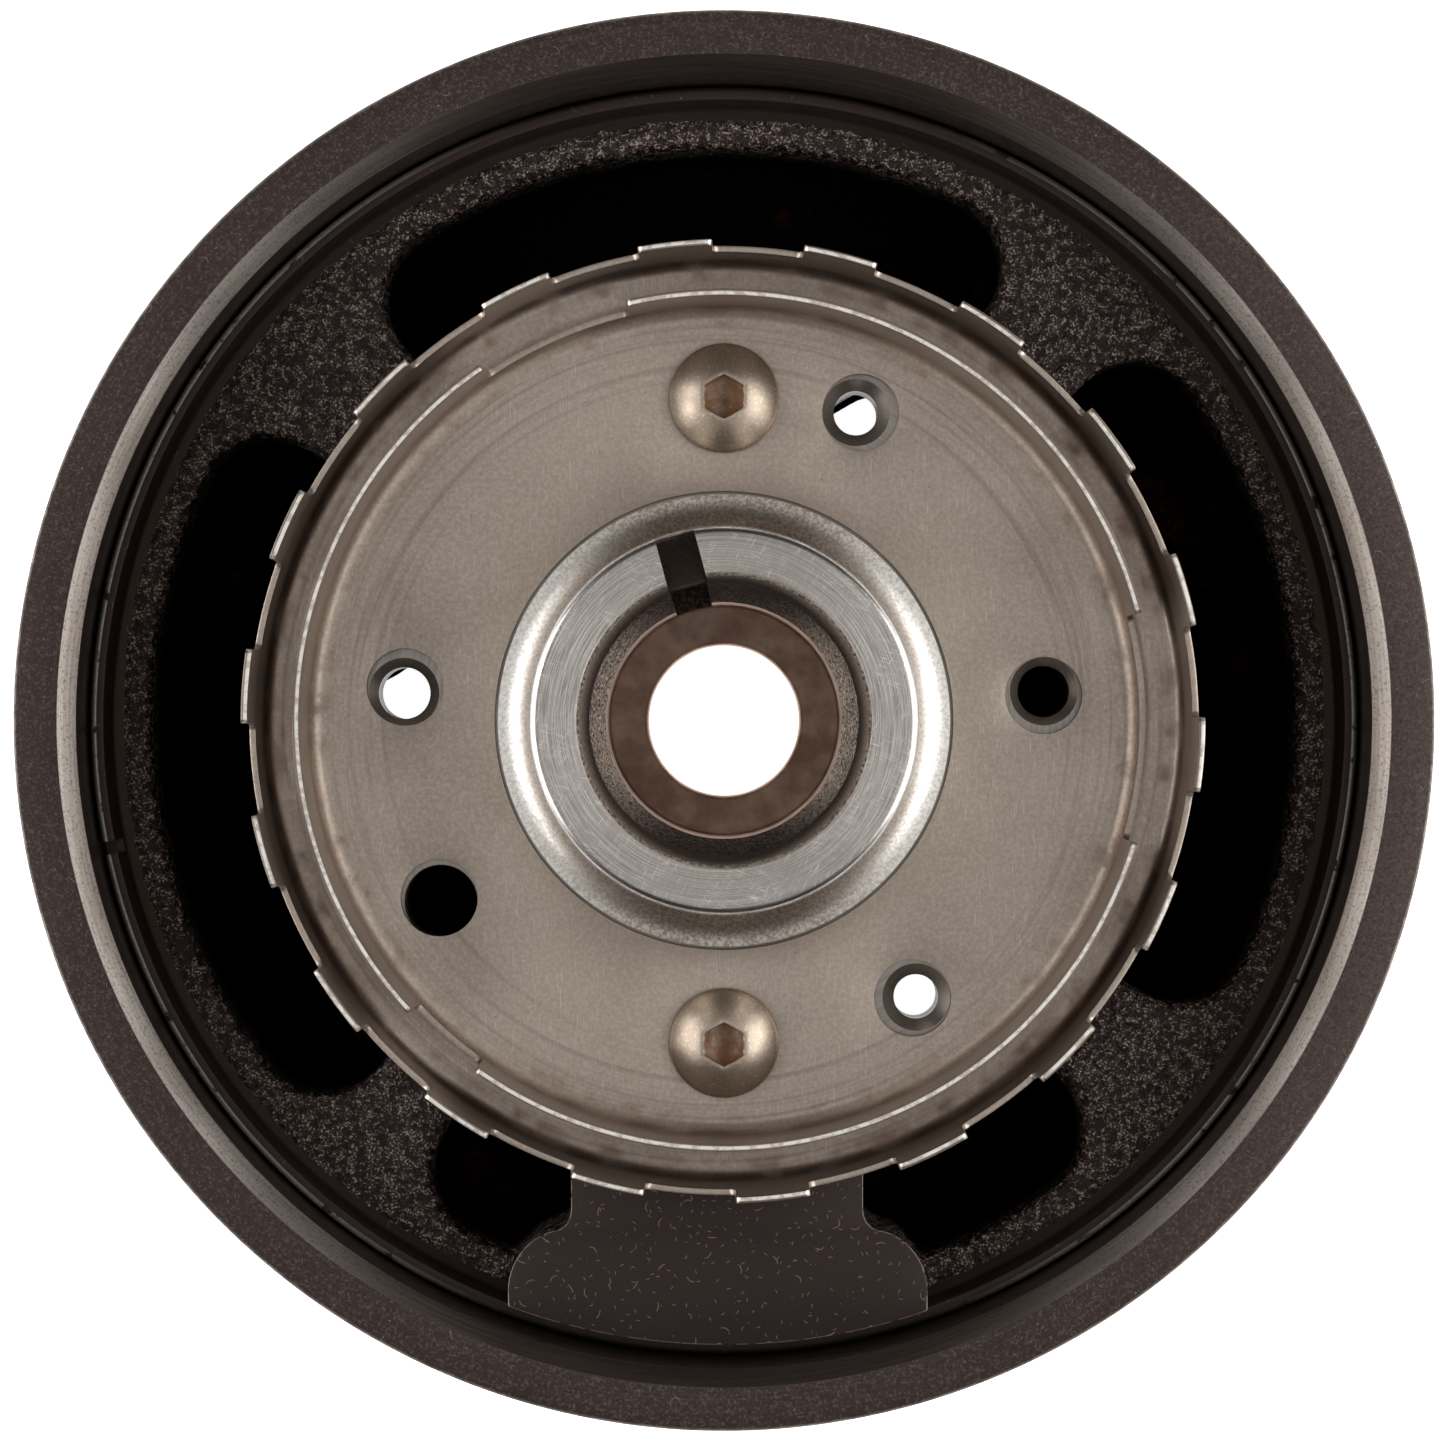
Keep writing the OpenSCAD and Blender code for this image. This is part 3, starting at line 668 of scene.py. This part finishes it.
def sheet_steel(name, base_r, wall_r, tip_z, shift):
    """Bare pressed steel, warm grey, with die marks, specks and a little rust where the wall begins; the
    sheared tips carry a painted highlight along their middle and painted shade at their sides.
    """
    s = Shader(name)
    moved = s.node("ShaderNodeVectorMath", "ADD", Vector=s.place)
    moved.inputs[1].default_value = (shift, 0, 0)
    cloud = s.noise(18, 4.0, 0.55, at=moved.outputs[0])
    fine = s.noise(0.5, 4.0, 0.6)
    colour = s.mix(cloud, (0.34, 0.285, 0.242), (0.47, 0.400, 0.345))
    colour = s.mix(s.fade(fine, 0.35, 0.7, 0.0, 0.6), colour, (0.53, 0.465, 0.410))
    drawn = s.times(s.fade(s.scratches(88, 0.14), 0.6, 0.72), s.fade(cloud, 0.35, 0.6))
    colour = s.mix(s.times(drawn, 0.6), colour, (0.74, 0.68, 0.62))
    rings = s.turned(0.9, 2.0)
    near_wall = s.band(s.r, (base_r - 7.5) * MM, (wall_r - 1.5) * MM, 0.0006)
    streak = s.times(s.fade(rings, 0.45, 0.7), s.times(near_wall, 0.45))
    colour = s.mix(streak, colour, (0.20, 0.165, 0.14))
    dark = s.specks(1.9, 0.22, 0.5)
    pale = s.specks(2.3, 0.16, 0.6)
    colour = s.mix(s.times(dark, 0.6), colour, (0.12, 0.085, 0.065))
    colour = s.mix(s.times(pale, 0.6), colour, (0.78, 0.73, 0.68))
    foot = s.band(s.r, (wall_r - 2.6) * MM, (wall_r + 0.2) * MM, 0.0005)
    low = s.height(3.0, 6.0, 1.0, 0.0)
    patch = s.fade(s.noise(4.0, 4.0, 0.6, at=moved.outputs[0]), 0.45, 0.75, 0.0, 0.45)
    rust = s.times(foot, low, patch)
    colour = s.mix(rust, colour, (0.20, 0.095, 0.045))
    cut = s.height(tip_z - 0.35, tip_z - 0.1)
    sheared = s.noise(1.4, 3.0, 0.6)
    # Painted highlight: the sheared tips are bright along a middle band and painted darker at their sides.
    sheared_highlight = s.mix(s.fade(sheared, 0.38, 0.55), (0.66, 0.60, 0.54), (1.0, 0.98, 0.93))
    tip_highlight_band = s.band(s.r, (wall_r + 0.16) * MM, (wall_r + 0.60) * MM, 0.00008)
    colour = s.mix(cut, colour, s.mix(tip_highlight_band, (0.26, 0.215, 0.18), sheared_highlight))
    both = s.math("ADD", s.times(cloud, 0.5), s.times(fine, 0.5))
    rough = s.fade(both, 0.3, 0.7, 0.46, 0.36)
    rough = s.math("ADD", rough, s.times(rust, 0.3))
    normal = s.bump(fine, 0.018, 0.6)
    normal = s.bump(rings, 0.05, s.times(near_wall, 0.4), normal)
    normal = s.bump(sheared, 0.08, s.times(cut, 0.7), normal)
    metallic = s.math("SUBTRACT", 1.0, rust)
    return s.finish(Base_Color=colour, Metallic=metallic, Roughness=rough, Normal=normal)


def screw_steel():
    """Brownish steel screw head with rust in the socket."""
    s = Shader("screw_steel")
    fine = s.noise(0.35, 4.0, 0.6)
    patch = s.noise(2.6, 4.0, 0.6)
    colour = s.mix(patch, (0.30, 0.235, 0.18), (0.54, 0.46, 0.385))
    colour = s.mix(s.fade(fine, 0.5, 0.75, 0.0, 0.5), colour, (0.82, 0.74, 0.65))
    deep = s.height(SCREW_HEAD_TOP - 1.5, SCREW_HEAD_TOP - 0.6, 1.0, 0.0)
    off = s.math("SUBTRACT", s.math("ABSOLUTE", s.y), SCREW_Y * MM)
    flat = s.node("ShaderNodeCombineXYZ", X=s.x, Y=off)
    from_axis = s.node("ShaderNodeVectorMath", "LENGTH", Vector=flat.outputs[0]).outputs["Value"]
    centre = s.fade(from_axis, 0.0026, 0.0032, 1.0, 0.0)
    rust = s.times(deep, centre, s.fade(patch, 0.3, 0.6, 0.35, 1.0))
    colour = s.mix(rust, colour, s.mix(fine, (0.12, 0.050, 0.020), (0.36, 0.17, 0.07)))
    normal = s.bump(fine, 0.03, 0.6)
    rough = s.math("ADD", s.fade(patch, 0.3, 0.7, 0.44, 0.36), s.times(rust, 0.35))
    metallic = s.math("SUBTRACT", 1.0, rust)
    return s.finish(Base_Color=colour, Metallic=metallic, Roughness=rough, Normal=normal)


def give(obj, material, body="hub"):
    """Gives a piece its one material and its body."""
    obj.data.materials.clear()
    obj.data.materials.append(material)
    if obj.parent is None:
        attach(obj, body)


# ---------------------------------------------------------------------------
# Inertia ring and rubber
# ---------------------------------------------------------------------------
def make_inertia_ring():
    """Turned ring with its bore chamfer, rounded corners and belt grooves."""
    crest_r = RING_R - BELT_RECESS
    floor_r = crest_r - GROOVE_DEPTH
    belt_w = BELT_GROOVES * GROOVE_PITCH + BELT_SIDES
    belt_0 = RING_FRONT + FRONT_FLANGE
    corners = [
        (RING_BORE_R, RING_FRONT, 1.0), (RING_R, RING_FRONT, 0.5), (RING_R, belt_0, GROOVE_EDGE),
        (crest_r, belt_0 + BELT_RECESS, GROOVE_EDGE)
    ]
    half = GROOVE_FLOOR / 2 + GROOVE_DEPTH * math.tan(math.radians(GROOVE_HALF_ANGLE))
    for i in range(BELT_GROOVES):
        middle = belt_0 + belt_w / 2 + (i - (BELT_GROOVES - 1) / 2) * GROOVE_PITCH
        corners += [
            (crest_r, middle - half, GROOVE_EDGE), (floor_r, middle - GROOVE_FLOOR / 2, 0.2),
            (floor_r, middle + GROOVE_FLOOR / 2, 0.2), (crest_r, middle + half, GROOVE_EDGE)
        ]
    corners += [
        (crest_r, belt_0 + belt_w - BELT_RECESS, GROOVE_EDGE), (RING_R, belt_0 + belt_w, GROOVE_EDGE),
        (RING_R, RING_TOP, 0.4), (RING_BORE_R + RING_CHAMFER, RING_TOP, 0.12),
        (RING_BORE_R, RING_TOP - RING_CHAMFER, 0.15)
    ]
    ring = lathe("ring_body", rounded(corners, 3), 540)
    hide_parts("inertia_ring")
    give(ring, ring_paint(), "inertia_ring")


# ---------------------------------------------------------------------------
# Vane rings
# ---------------------------------------------------------------------------
def vane_sheet(base_z, wall_outer_r, bend, tip, windows):
    """Middle surface of a cup of sheet, drawn in rows up a wall whose windows are left open."""
    middle = wall_outer_r - SHEET / 2
    low = base_z + SHEET / 2
    bend_r = bend + SHEET / 2
    columns = wall_columns(windows, middle, tip)
    foot = low + bend_r
    split = windows[0][2] + WINDOW_CORNER
    foot_rows, low_rows, high_rows = 6, 6, 5
    rows = []
    for k in range(foot_rows + 1):
        turn = math.radians(90 * k / foot_rows)
        radius = middle - bend_r + bend_r * math.sin(turn)
        rows.append([(radius, low + bend_r - bend_r * math.cos(turn))] * len(columns))
    for k in range(1, low_rows + 1):
        rows.append([(middle, foot + (min(split, c["top"]) - foot) * k / low_rows) for c in columns])
    for k in range(1, high_rows + 1):
        share = k / high_rows
        rows.append([(middle + c["lean"] * share, split + (c["top"] - split) * share) for c in columns])
    points = [
        (radius * math.cos(c["angle"]), radius * math.sin(c["angle"]), z)
        for row in rows for c, (radius, z) in zip(columns, row)
    ]
    n = len(columns)
    faces = []
    for k in range(len(rows) - 1):
        for i in range(n):
            j = (i + 1) % n
            if columns[i]["doubled"]:
                continue
            if k < foot_rows + low_rows or not columns[i]["open_after"]:
                faces.append((k * n + i, k * n + j, (k + 1) * n + j, (k + 1) * n + i))
    flat_angles = [c["angle"] for c in columns if not c["doubled"]]
    flat_points, flat_faces = flat_with_holes(middle - bend_r, flat_angles)
    faces += [tuple(len(points) + i for i in face) for face in flat_faces]
    points += [(x, y, low) for x, y in flat_points]
    return points, faces


def corner_drop(gap, radius):
    """How far a rounded corner's edge lies from its square corner's, at a distance from the side."""
    return 0.0 if gap >= radius else radius - math.sqrt(radius**2 - (radius - gap) ** 2)


def spread(start, end, corner, step, corner_steps=5):
    """Angles from start to end, closer together in the corners."""
    count = max(2, round((end - start - 2 * corner) / step))
    made = [start + corner * k / corner_steps for k in range(corner_steps)]
    made += [start + corner + (end - start - 2 * corner) * k / count for k in range(count)]
    made += [end - corner + corner * k / corner_steps for k in range(corner_steps)]
    return made


def wall_columns(windows, radius, tip):
    """The wall's columns in order round it: angle, height of the edge, lean of the tip, whether a window
    follows, and whether the next column stands at the same place."""
    step = math.radians(0.75)
    ends = [(middle - width / 2, middle + width / 2) for middle, width, _ in windows]
    spans = sorted((math.radians(start), math.radians(end)) for start, end in ends)
    sill = windows[0][2]
    columns = []

    def column(angle, top, lean, open_after, doubled):
        columns.append(dict(angle=angle, top=top, lean=lean, open_after=open_after, doubled=doubled))

    for i, (start, end) in enumerate(spans):
        for a in spread(start, end, WINDOW_CORNER / radius, step):
            gap = min(a - start, end - a) * radius
            column(a, sill + corner_drop(gap, WINDOW_CORNER), 0.0, True, False)
        following = spans[(i + 1) % len(spans)][0] + (2 * math.pi if i + 1 == len(spans) else 0)
        lean = VANE_LEAN * math.sin(7.3 * i + 1.1)
        for a in spread(end, following, TIP_CORNER / radius, step) + [following]:
            gap = min(a - end, following - a) * radius
            column(a, tip - corner_drop(gap, TIP_CORNER), lean, False, a == following)
    return columns


def flat_with_holes(outer_r, outer_angles):
    """Triangulates the flat of a vane ring round its holes."""
    loops = [[(outer_r * math.cos(a), outer_r * math.sin(a)) for a in outer_angles]]
    holes = [(0, 0, RING_HOLE_R, 240)]
    holes += [(*polar_point(r, a), CLEAR_R, 72) for r, a in CLEAR_HOLES]
    holes += [(0, y, SCREW_HOLE_R, 48) for y in (SCREW_Y, -SCREW_Y)]
    loops += [circle(*hole) for hole in holes]
    points, edges = [], []
    for loop in loops:
        start = len(points)
        points += [Vector(p) for p in loop]
        edges += [(start + k, start + (k + 1) % len(loop)) for k in range(len(loop))]
    made, _, faces, _, _, _ = delaunay_2d_cdt(points, edges, [], 0, 1e-7)
    kept = []
    for face in faces:
        cx = sum(made[i].x for i in face) / len(face)
        cy = sum(made[i].y for i in face) / len(face)
        outside = math.hypot(cx, cy) > outer_r
        if not outside and all(math.hypot(cx - x, cy - y) > r for x, y, r, _ in holes):
            kept.append(tuple(face))
    return [(p.x, p.y) for p in made], kept


def make_vane_ring(name, node, material, base_z, wall_outer_r, bend, tip, windows):
    """A cup of pressed sheet with its edges broken."""
    points, faces = vane_sheet(base_z, wall_outer_r, bend, tip, windows)
    ring = new_piece(name, points, faces)
    weld(ring, 0.004)
    make_outward(ring, 30)
    thick = ring.modifiers.new("thick", "SOLIDIFY")
    thick.thickness = SHEET * MM
    thick.offset = 0
    thick.use_even_offset = True
    break_edges(ring, 0.13, 50)
    shade(ring, 35)
    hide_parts(node)
    give(ring, material)


def make_vane_rings():
    """The outer ring with its even windows and the inner ring with its three."""
    pitch = 360 / OUTER_VANES
    outer = [(OUTER_PHASE + (i + 0.5) * pitch, OUTER_WINDOW, OUTER_SILL) for i in range(OUTER_VANES)]
    inner = [(middle, width, INNER_SILL) for middle, width in INNER_WINDOWS]
    outer_steel = sheet_steel("outer_sheet_steel", 56, OUTER_WALL_R - SHEET, OUTER_TIP, 0.0)
    inner_steel = sheet_steel("inner_sheet_steel", 51, INNER_WALL_R - SHEET, INNER_TIP, 0.3)
    outer_cup = (0, OUTER_WALL_R, OUTER_BEND, OUTER_TIP, outer)
    inner_cup = (INNER_BASE, INNER_WALL_R, INNER_BEND, INNER_TIP, inner)
    make_vane_ring("outer_vanes", "outer_vane_ring", outer_steel, *outer_cup)
    make_vane_ring("inner_vanes", "inner_vane_ring", inner_steel, *inner_cup)


# ---------------------------------------------------------------------------
# Screws
# ---------------------------------------------------------------------------
def make_screw(name, node, y, material):
    """Button head screw with a hexagon socket and a ridged shank."""
    seat = 2 * SHEET
    rise = SCREW_HEAD_TOP - seat - HEAD_EDGE
    dome_r = (HEAD_R**2 + rise**2) / (2 * rise)
    segments = 96
    angles = [2 * math.pi * k / segments for k in range(segments)]

    def level(radius, z):
        return [(radius, z)] * segments

    def hexagon(across):
        turns = [math.radians((math.degrees(a) + 30) % 60 - 30) for a in angles]
        return [across / 2 / math.cos(turn) for turn in turns]

    def domed(radii, sunk=0.0):
        centre = seat + HEAD_EDGE + rise - dome_r
        return [(r, centre + math.sqrt(dome_r**2 - r**2) - sunk) for r in radii]

    floor = SCREW_HEAD_TOP - SOCKET_DEPTH
    rows = [level(0.05, floor - 0.9), level(2.0, floor - 0.05)]
    for across, z in [(SOCKET_AF - 0.3, floor), (SOCKET_AF, floor + 0.15), (SOCKET_AF, SCREW_HEAD_TOP - 0.5)]:
        rows.append([(r, z) for r in hexagon(across)])
    rim = hexagon(SOCKET_AF + 0.5)
    rows += [domed(hexagon(SOCKET_AF + 0.15), 0.05), domed(rim)]
    dome_rows = 10
    for k in range(1, dome_rows + 1):
        share = k / dome_rows
        rows.append(domed([r * (1 - share) + (HEAD_R - 0.25) * share for r in rim]))
    edge = seat + HEAD_EDGE
    rows += [level(HEAD_R - 0.06, edge - 0.02), level(HEAD_R, edge - 0.2)]
    rows += [level(HEAD_R, seat + 0.2), level(HEAD_R - 0.2, seat), level(THREAD_R, seat)]
    z = seat - 0.4
    while z > SCREW_END + THREAD_PITCH:
        rows += [level(THREAD_R, z), level(THREAD_R - THREAD_DEPTH, z - THREAD_PITCH / 2)]
        z -= THREAD_PITCH
    rows += [level(THREAD_R, SCREW_END + 0.5), level(THREAD_R - 0.5, SCREW_END)]
    points = [(r * math.cos(a), y + r * math.sin(a), z) for row in rows for a, (r, z) in zip(angles, row)]
    faces = []
    for k in range(len(rows) - 1):
        for i in range(segments):
            j = (i + 1) % segments
            faces.append((k * segments + i, (k + 1) * segments + i, (k + 1) * segments + j, k * segments + j))
    faces.append(tuple(range(segments)))
    faces.append(tuple(reversed(range((len(rows) - 1) * segments, len(rows) * segments))))
    screw = new_piece(name, points, faces)
    make_outward(screw, 32)
    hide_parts(node)
    give(screw, material)


# ---------------------------------------------------------------------------
# Hub
# ---------------------------------------------------------------------------
def make_nose():
    """Turned nose and stepped bore down to the washer seat, with the keyway cut through it."""
    corners = [(RELIEF_R, NOSE_TOP, 0.7), (NOSE_R, NOSE_TOP, 1.2)]
    corners += arc(PILOT_R, 2 * SHEET + NOSE_HOLLOW, NOSE_HOLLOW, 180, 270, 14)
    corners += [(PILOT_R, 0, 0), (BOSS_R, 0, 0), (BOSS_R, HUB_FRONT, 0.6), (WASHER_R, HUB_FRONT, 0.3)]
    corners += [(WASHER_R, WASHER_Z, 0), (BOLT_R, WASHER_Z, 0.4), (BOLT_R, SHOULDER, 0.6)]
    corners += [(CRANK_R, SHOULDER, 0.4), (CRANK_R, CRANK_BACK, 0), (RELIEF_R, RELIEF_END, 0)]
    nose = lathe("nose", rounded(corners, 6), 360)
    key = new_piece("key", *prism([
        (CRANK_R - 3, NOSE_TOP + 1), (KEY_MOUTH_R, NOSE_TOP + 1), (KEY_MOUTH_R, NOSE_TOP - 1),
        (KEY_R, KEY_RAMP), (KEY_R, SHOULDER + 1), (CRANK_R - 3, SHOULDER + 1)
    ], KEY_W, KEY_ANGLE))
    make_outward(key, 30)
    cut_away(nose, key)
    shade(nose, 28)
    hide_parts("hub_nose")
    give(nose, nose_steel())


def prism(outline, width, angle):
    """Points and faces of a (distance, height) outline drawn out sideways, turned round the axis."""
    c, s = math.cos(math.radians(angle)), math.sin(math.radians(angle))
    points = []
    for side in (-width / 2, width / 2):
        points += [(c * x - s * side, s * x + c * side, z) for x, z in outline]
    return points, drawn_out(len(outline))


def make_seat():
    """The drilled and countersunk plate under the vane rings, shaped as the CAD seat plate."""
    plate = copy_of_node("seat", "hub_seat_plate")
    shade(plate, 30)
    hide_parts("hub_seat_plate")
    give(plate, seat_steel())


def pad_outline():
    """Outline of the counterweight pad, seen from the engine."""
    (neck_0, neck_1), (foot_0, foot_1) = PAD_NECK, PAD_FOOT
    shoulder_y = -PAD_FOOT_TOP - PAD_CORNER
    start, end = (math.degrees(math.atan2(-math.sqrt(PAD_R**2 - x**2), x)) for x in PAD_FOOT)
    left = arc(foot_0 + PAD_CORNER, shoulder_y, PAD_CORNER, 108, 180, 12)
    right = arc(foot_1 - PAD_CORNER, shoulder_y, PAD_CORNER, 0, 72, 12)
    outline = curve((neck_0, -PAD_FOOT_TOP + 3.4), (neck_0 + 0.3, -PAD_FOOT_TOP - 0.2), left[0])
    outline += [p[:2] for p in left + arc(0, 0, PAD_R, start, end, 60) + right]
    outline += curve(right[-1], (neck_1 - 0.3, -PAD_FOOT_TOP - 0.2), (neck_1, -PAD_FOOT_TOP + 3.4))
    return [(neck_0, -SEAT_R + 0.3)] + outline + [(neck_1, -SEAT_R + 0.3)]


def curve(start, control, end, steps=8):
    """Points inside a curve from start to end that bends toward a control point."""
    points = []
    for k in range(1, steps):
        t = k / steps
        shares = ((1 - t) ** 2, 2 * t * (1 - t), t**2)
        points.append(tuple(sum(w * p[i] for w, p in zip(shares, (start, control, end))) for i in (0, 1)))
    return points


def make_pad():
    """The milled face of the counterweight pad, with a broken edge."""
    outline = pad_outline()
    points = [(x, y, z) for z in (-1.0, 0.0) for x, y in outline]
    pad = new_piece("hub_pad", points, drawn_out(len(outline)))
    make_outward(pad, 40)
    break_edges(pad, 0.2, 60)
    shade(pad, 40)
    give(pad, pad_paint())


def make_lip():
    """The turned lip at the back of the hub's rim, with its timing notch."""
    corners = [
        (78.4, CAST_Z - 0.6, 0), (79.3, CAST_Z - 0.05, 0.6), (80.35, CAST_Z + 0.6, 0.8),
        (80.75, LIP_Z - 0.9, 0.6), (LIP_INNER_R + 0.05, LIP_Z, 0.3), (HUB_R, LIP_Z, 0.62),
        (HUB_R, LIP_Z - LIP_DEPTH, 0.2), (79.7, LIP_Z - LIP_DEPTH, 0)
    ]
    lip = lathe("hub_lip", rounded(corners, 6), 540)
    across, along = (HUB_R - NOTCH_DEPTH, HUB_R + 1), (-NOTCH_W / 2, NOTCH_W / 2)
    cut_away(lip, block(*across, *along, LIP_Z - 3, LIP_Z + 1, NOTCH_ANGLE))
    shade(lip, 30)
    give(lip, machined_black())


def make_casting():
    """The rough casting: the hub outside its machined core, remeshed, with soft edges and an uneven skin."""
    parts = []
    for node, (distance, angle, radius, depth) in BLIND_HOLES.items():
        part = copy_of_node("part", node)
        middle = polar_point(distance, angle)
        cut_away(part, cylinder(radius + BOSS_BORE_CLEARANCE, -depth - 0.5, 5, *middle, 32))
        parts.append(part)
    walls = ("hub_inner_wall", "hub_web", "hub_rim")
    parts += [copy_of_node("part", node) for node in walls]
    cast = join(parts, "casting")
    remesh = cast.modifiers.new("voxels", "REMESH")
    remesh.mode = "VOXEL"
    remesh.voxel_size = 1.05 * MM
    smooth = cast.modifiers.new("soft edges", "SMOOTH")
    smooth.factor = 0.5
    smooth.iterations = 8
    bake_modifiers(cast)
    roughen(cast)
    shade(cast, 180)
    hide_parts(*walls, *BLIND_HOLES)
    give(cast, cast_iron())


def join(parts, name):
    """One object out of several."""
    bm = bmesh.new()
    for part in parts:
        bm.from_mesh(part.data)
        bpy.data.objects.remove(part)
    mesh = bpy.data.meshes.new(name)
    bm.to_mesh(mesh)
    bm.free()
    return add_object(name, mesh)


def roughen(cast):
    """Moves the casting's points in or out by a noise, and sinks them under the machined faces."""
    mesh = cast.data
    n = len(mesh.vertices)
    co, normal = np.zeros(n * 3), np.zeros(n * 3)
    mesh.vertices.foreach_get("co", co)
    mesh.vertices.foreach_get("normal", normal)
    co, normal = co.reshape(-1, 3) / MM, normal.reshape(-1, 3)
    uneven = np.array([noise.fractal(Vector(p) * 0.22, 1.0, 2.0, 4) for p in co])
    co += normal * (uneven * 0.22 - 0.1)[:, None]
    x, y, z = co[:, 0], co[:, 1], co[:, 2] - SEAT
    r = np.hypot(x, y)
    lip_floor = np.interp(r, [79.0, 80.3, 81.2], [CAST_Z, CAST_Z + 0.2, LIP_Z])
    turn = np.degrees(np.arctan2(y, x)) % 360
    notch = (np.abs(turn - NOTCH_ANGLE) < 1.6) & (r > 79.5)
    under_lip = (r > 79.0) & (z > CAST_Z - 1)
    z = np.where(under_lip, np.minimum(z, lip_floor - 0.35), z)
    z = np.where(notch & (z > LIP_Z - LIP_DEPTH), np.minimum(z, LIP_Z - 3.4), z)
    squeeze = np.where((r > HUB_R - 0.4) & (z > LIP_Z - LIP_DEPTH - 0.5), (HUB_R - 0.4) / r, 1.0)
    z = np.minimum(z, -0.4)
    outside = np.minimum(1.0, (HUB_R - 0.01) / r)
    co[:, 0] = x * squeeze * outside
    co[:, 1] = y * squeeze * outside
    co[:, 2] = np.maximum(z, HUB_FRONT + 0.02) + SEAT
    mesh.vertices.foreach_set("co", (co * MM).ravel())
    mesh.update()


# ---------------------------------------------------------------------------
# Stage: floor, lights and camera
# ---------------------------------------------------------------------------
def make_stage():
    """A plain pale floor just under the part, and a dim even sky."""
    floor_mesh = bpy.data.meshes.new("floor")
    reach = 3.0
    corners = [(-reach, -reach, 0), (reach, -reach, 0), (reach, reach, 0), (-reach, reach, 0)]
    floor_mesh.from_pydata(corners, [], [(0, 1, 2, 3)])
    floor = add_object("floor", floor_mesh)
    floor.location.z = -0.2 * MM
    paper = bpy.data.materials.new("pale_floor")
    paper.use_nodes = True
    shader = paper.node_tree.nodes["Principled BSDF"]
    shader.inputs["Base Color"].default_value = (0.9, 0.9, 0.9, 1)
    shader.inputs["Roughness"].default_value = 0.9
    shader.inputs["Emission Color"].default_value = (1, 1, 1, 1)
    shader.inputs["Emission Strength"].default_value = 1.0
    floor_mesh.materials.append(paper)
    world = bpy.data.worlds.new("studio")
    bpy.context.scene.world = world
    world.use_nodes = True
    background = world.node_tree.nodes["Background"]
    background.inputs["Color"].default_value = (1, 0.985, 0.97, 1)
    background.inputs["Strength"].default_value = 0.03
    bpy.context.scene.view_settings.view_transform = "Standard"


def soft_light(name, place, target, width, height, power):
    """A soft rectangular lamp that faces a target and isn't seen itself."""
    data = bpy.data.lights.new(name, "AREA")
    data.shape = "RECTANGLE"
    data.size, data.size_y, data.energy = width, height, power
    data.color = (1.0, 0.975, 0.95)
    lamp = add_object(name, data)
    lamp.location = place
    lamp.rotation_euler = (Vector(target) - Vector(place)).to_track_quat("-Z", "Y").to_euler()
    lamp.visible_camera = False


def make_camera():
    """Straight down on the nose, as far off as the photograph's shrinking circles say."""
    data = bpy.data.cameras.new("camera")
    data.sensor_width = 36
    data.lens = data.sensor_width * FOCAL_PIXELS / PHOTO_SIDE
    data.shift_x, data.shift_y = (off / PHOTO_SIDE for off in AXIS_OFF)
    data.clip_start, data.clip_end = 0.05, 20
    camera = add_object("camera", data)
    camera.location = (0, 0, SEAT * MM + CAMERA_OVER_SEAT)
    bpy.context.scene.camera = camera


make_inertia_ring()
give(frame["nodes"]["rubber_ring"], rubber())
make_vane_rings()
steel = screw_steel()
make_screw("screw_top", "ring_screw_top", SCREW_Y, steel)
make_screw("screw_bottom", "ring_screw_bottom", -SCREW_Y, steel)
make_nose()
make_seat()
make_pad()
make_lip()
make_casting()

make_stage()
middle = (0, 0, SEAT * MM)
soft_light("overhead", (0.15, 0, 1.3), middle, 1.5, 1.5, 4.6)
soft_light("left_box", (-0.75, 0, 0.42), middle, 0.9, 0.7, 7.0)
soft_light("right_box", (0.75, 0, 0.42), middle, 0.9, 0.7, 7.6)
make_camera()
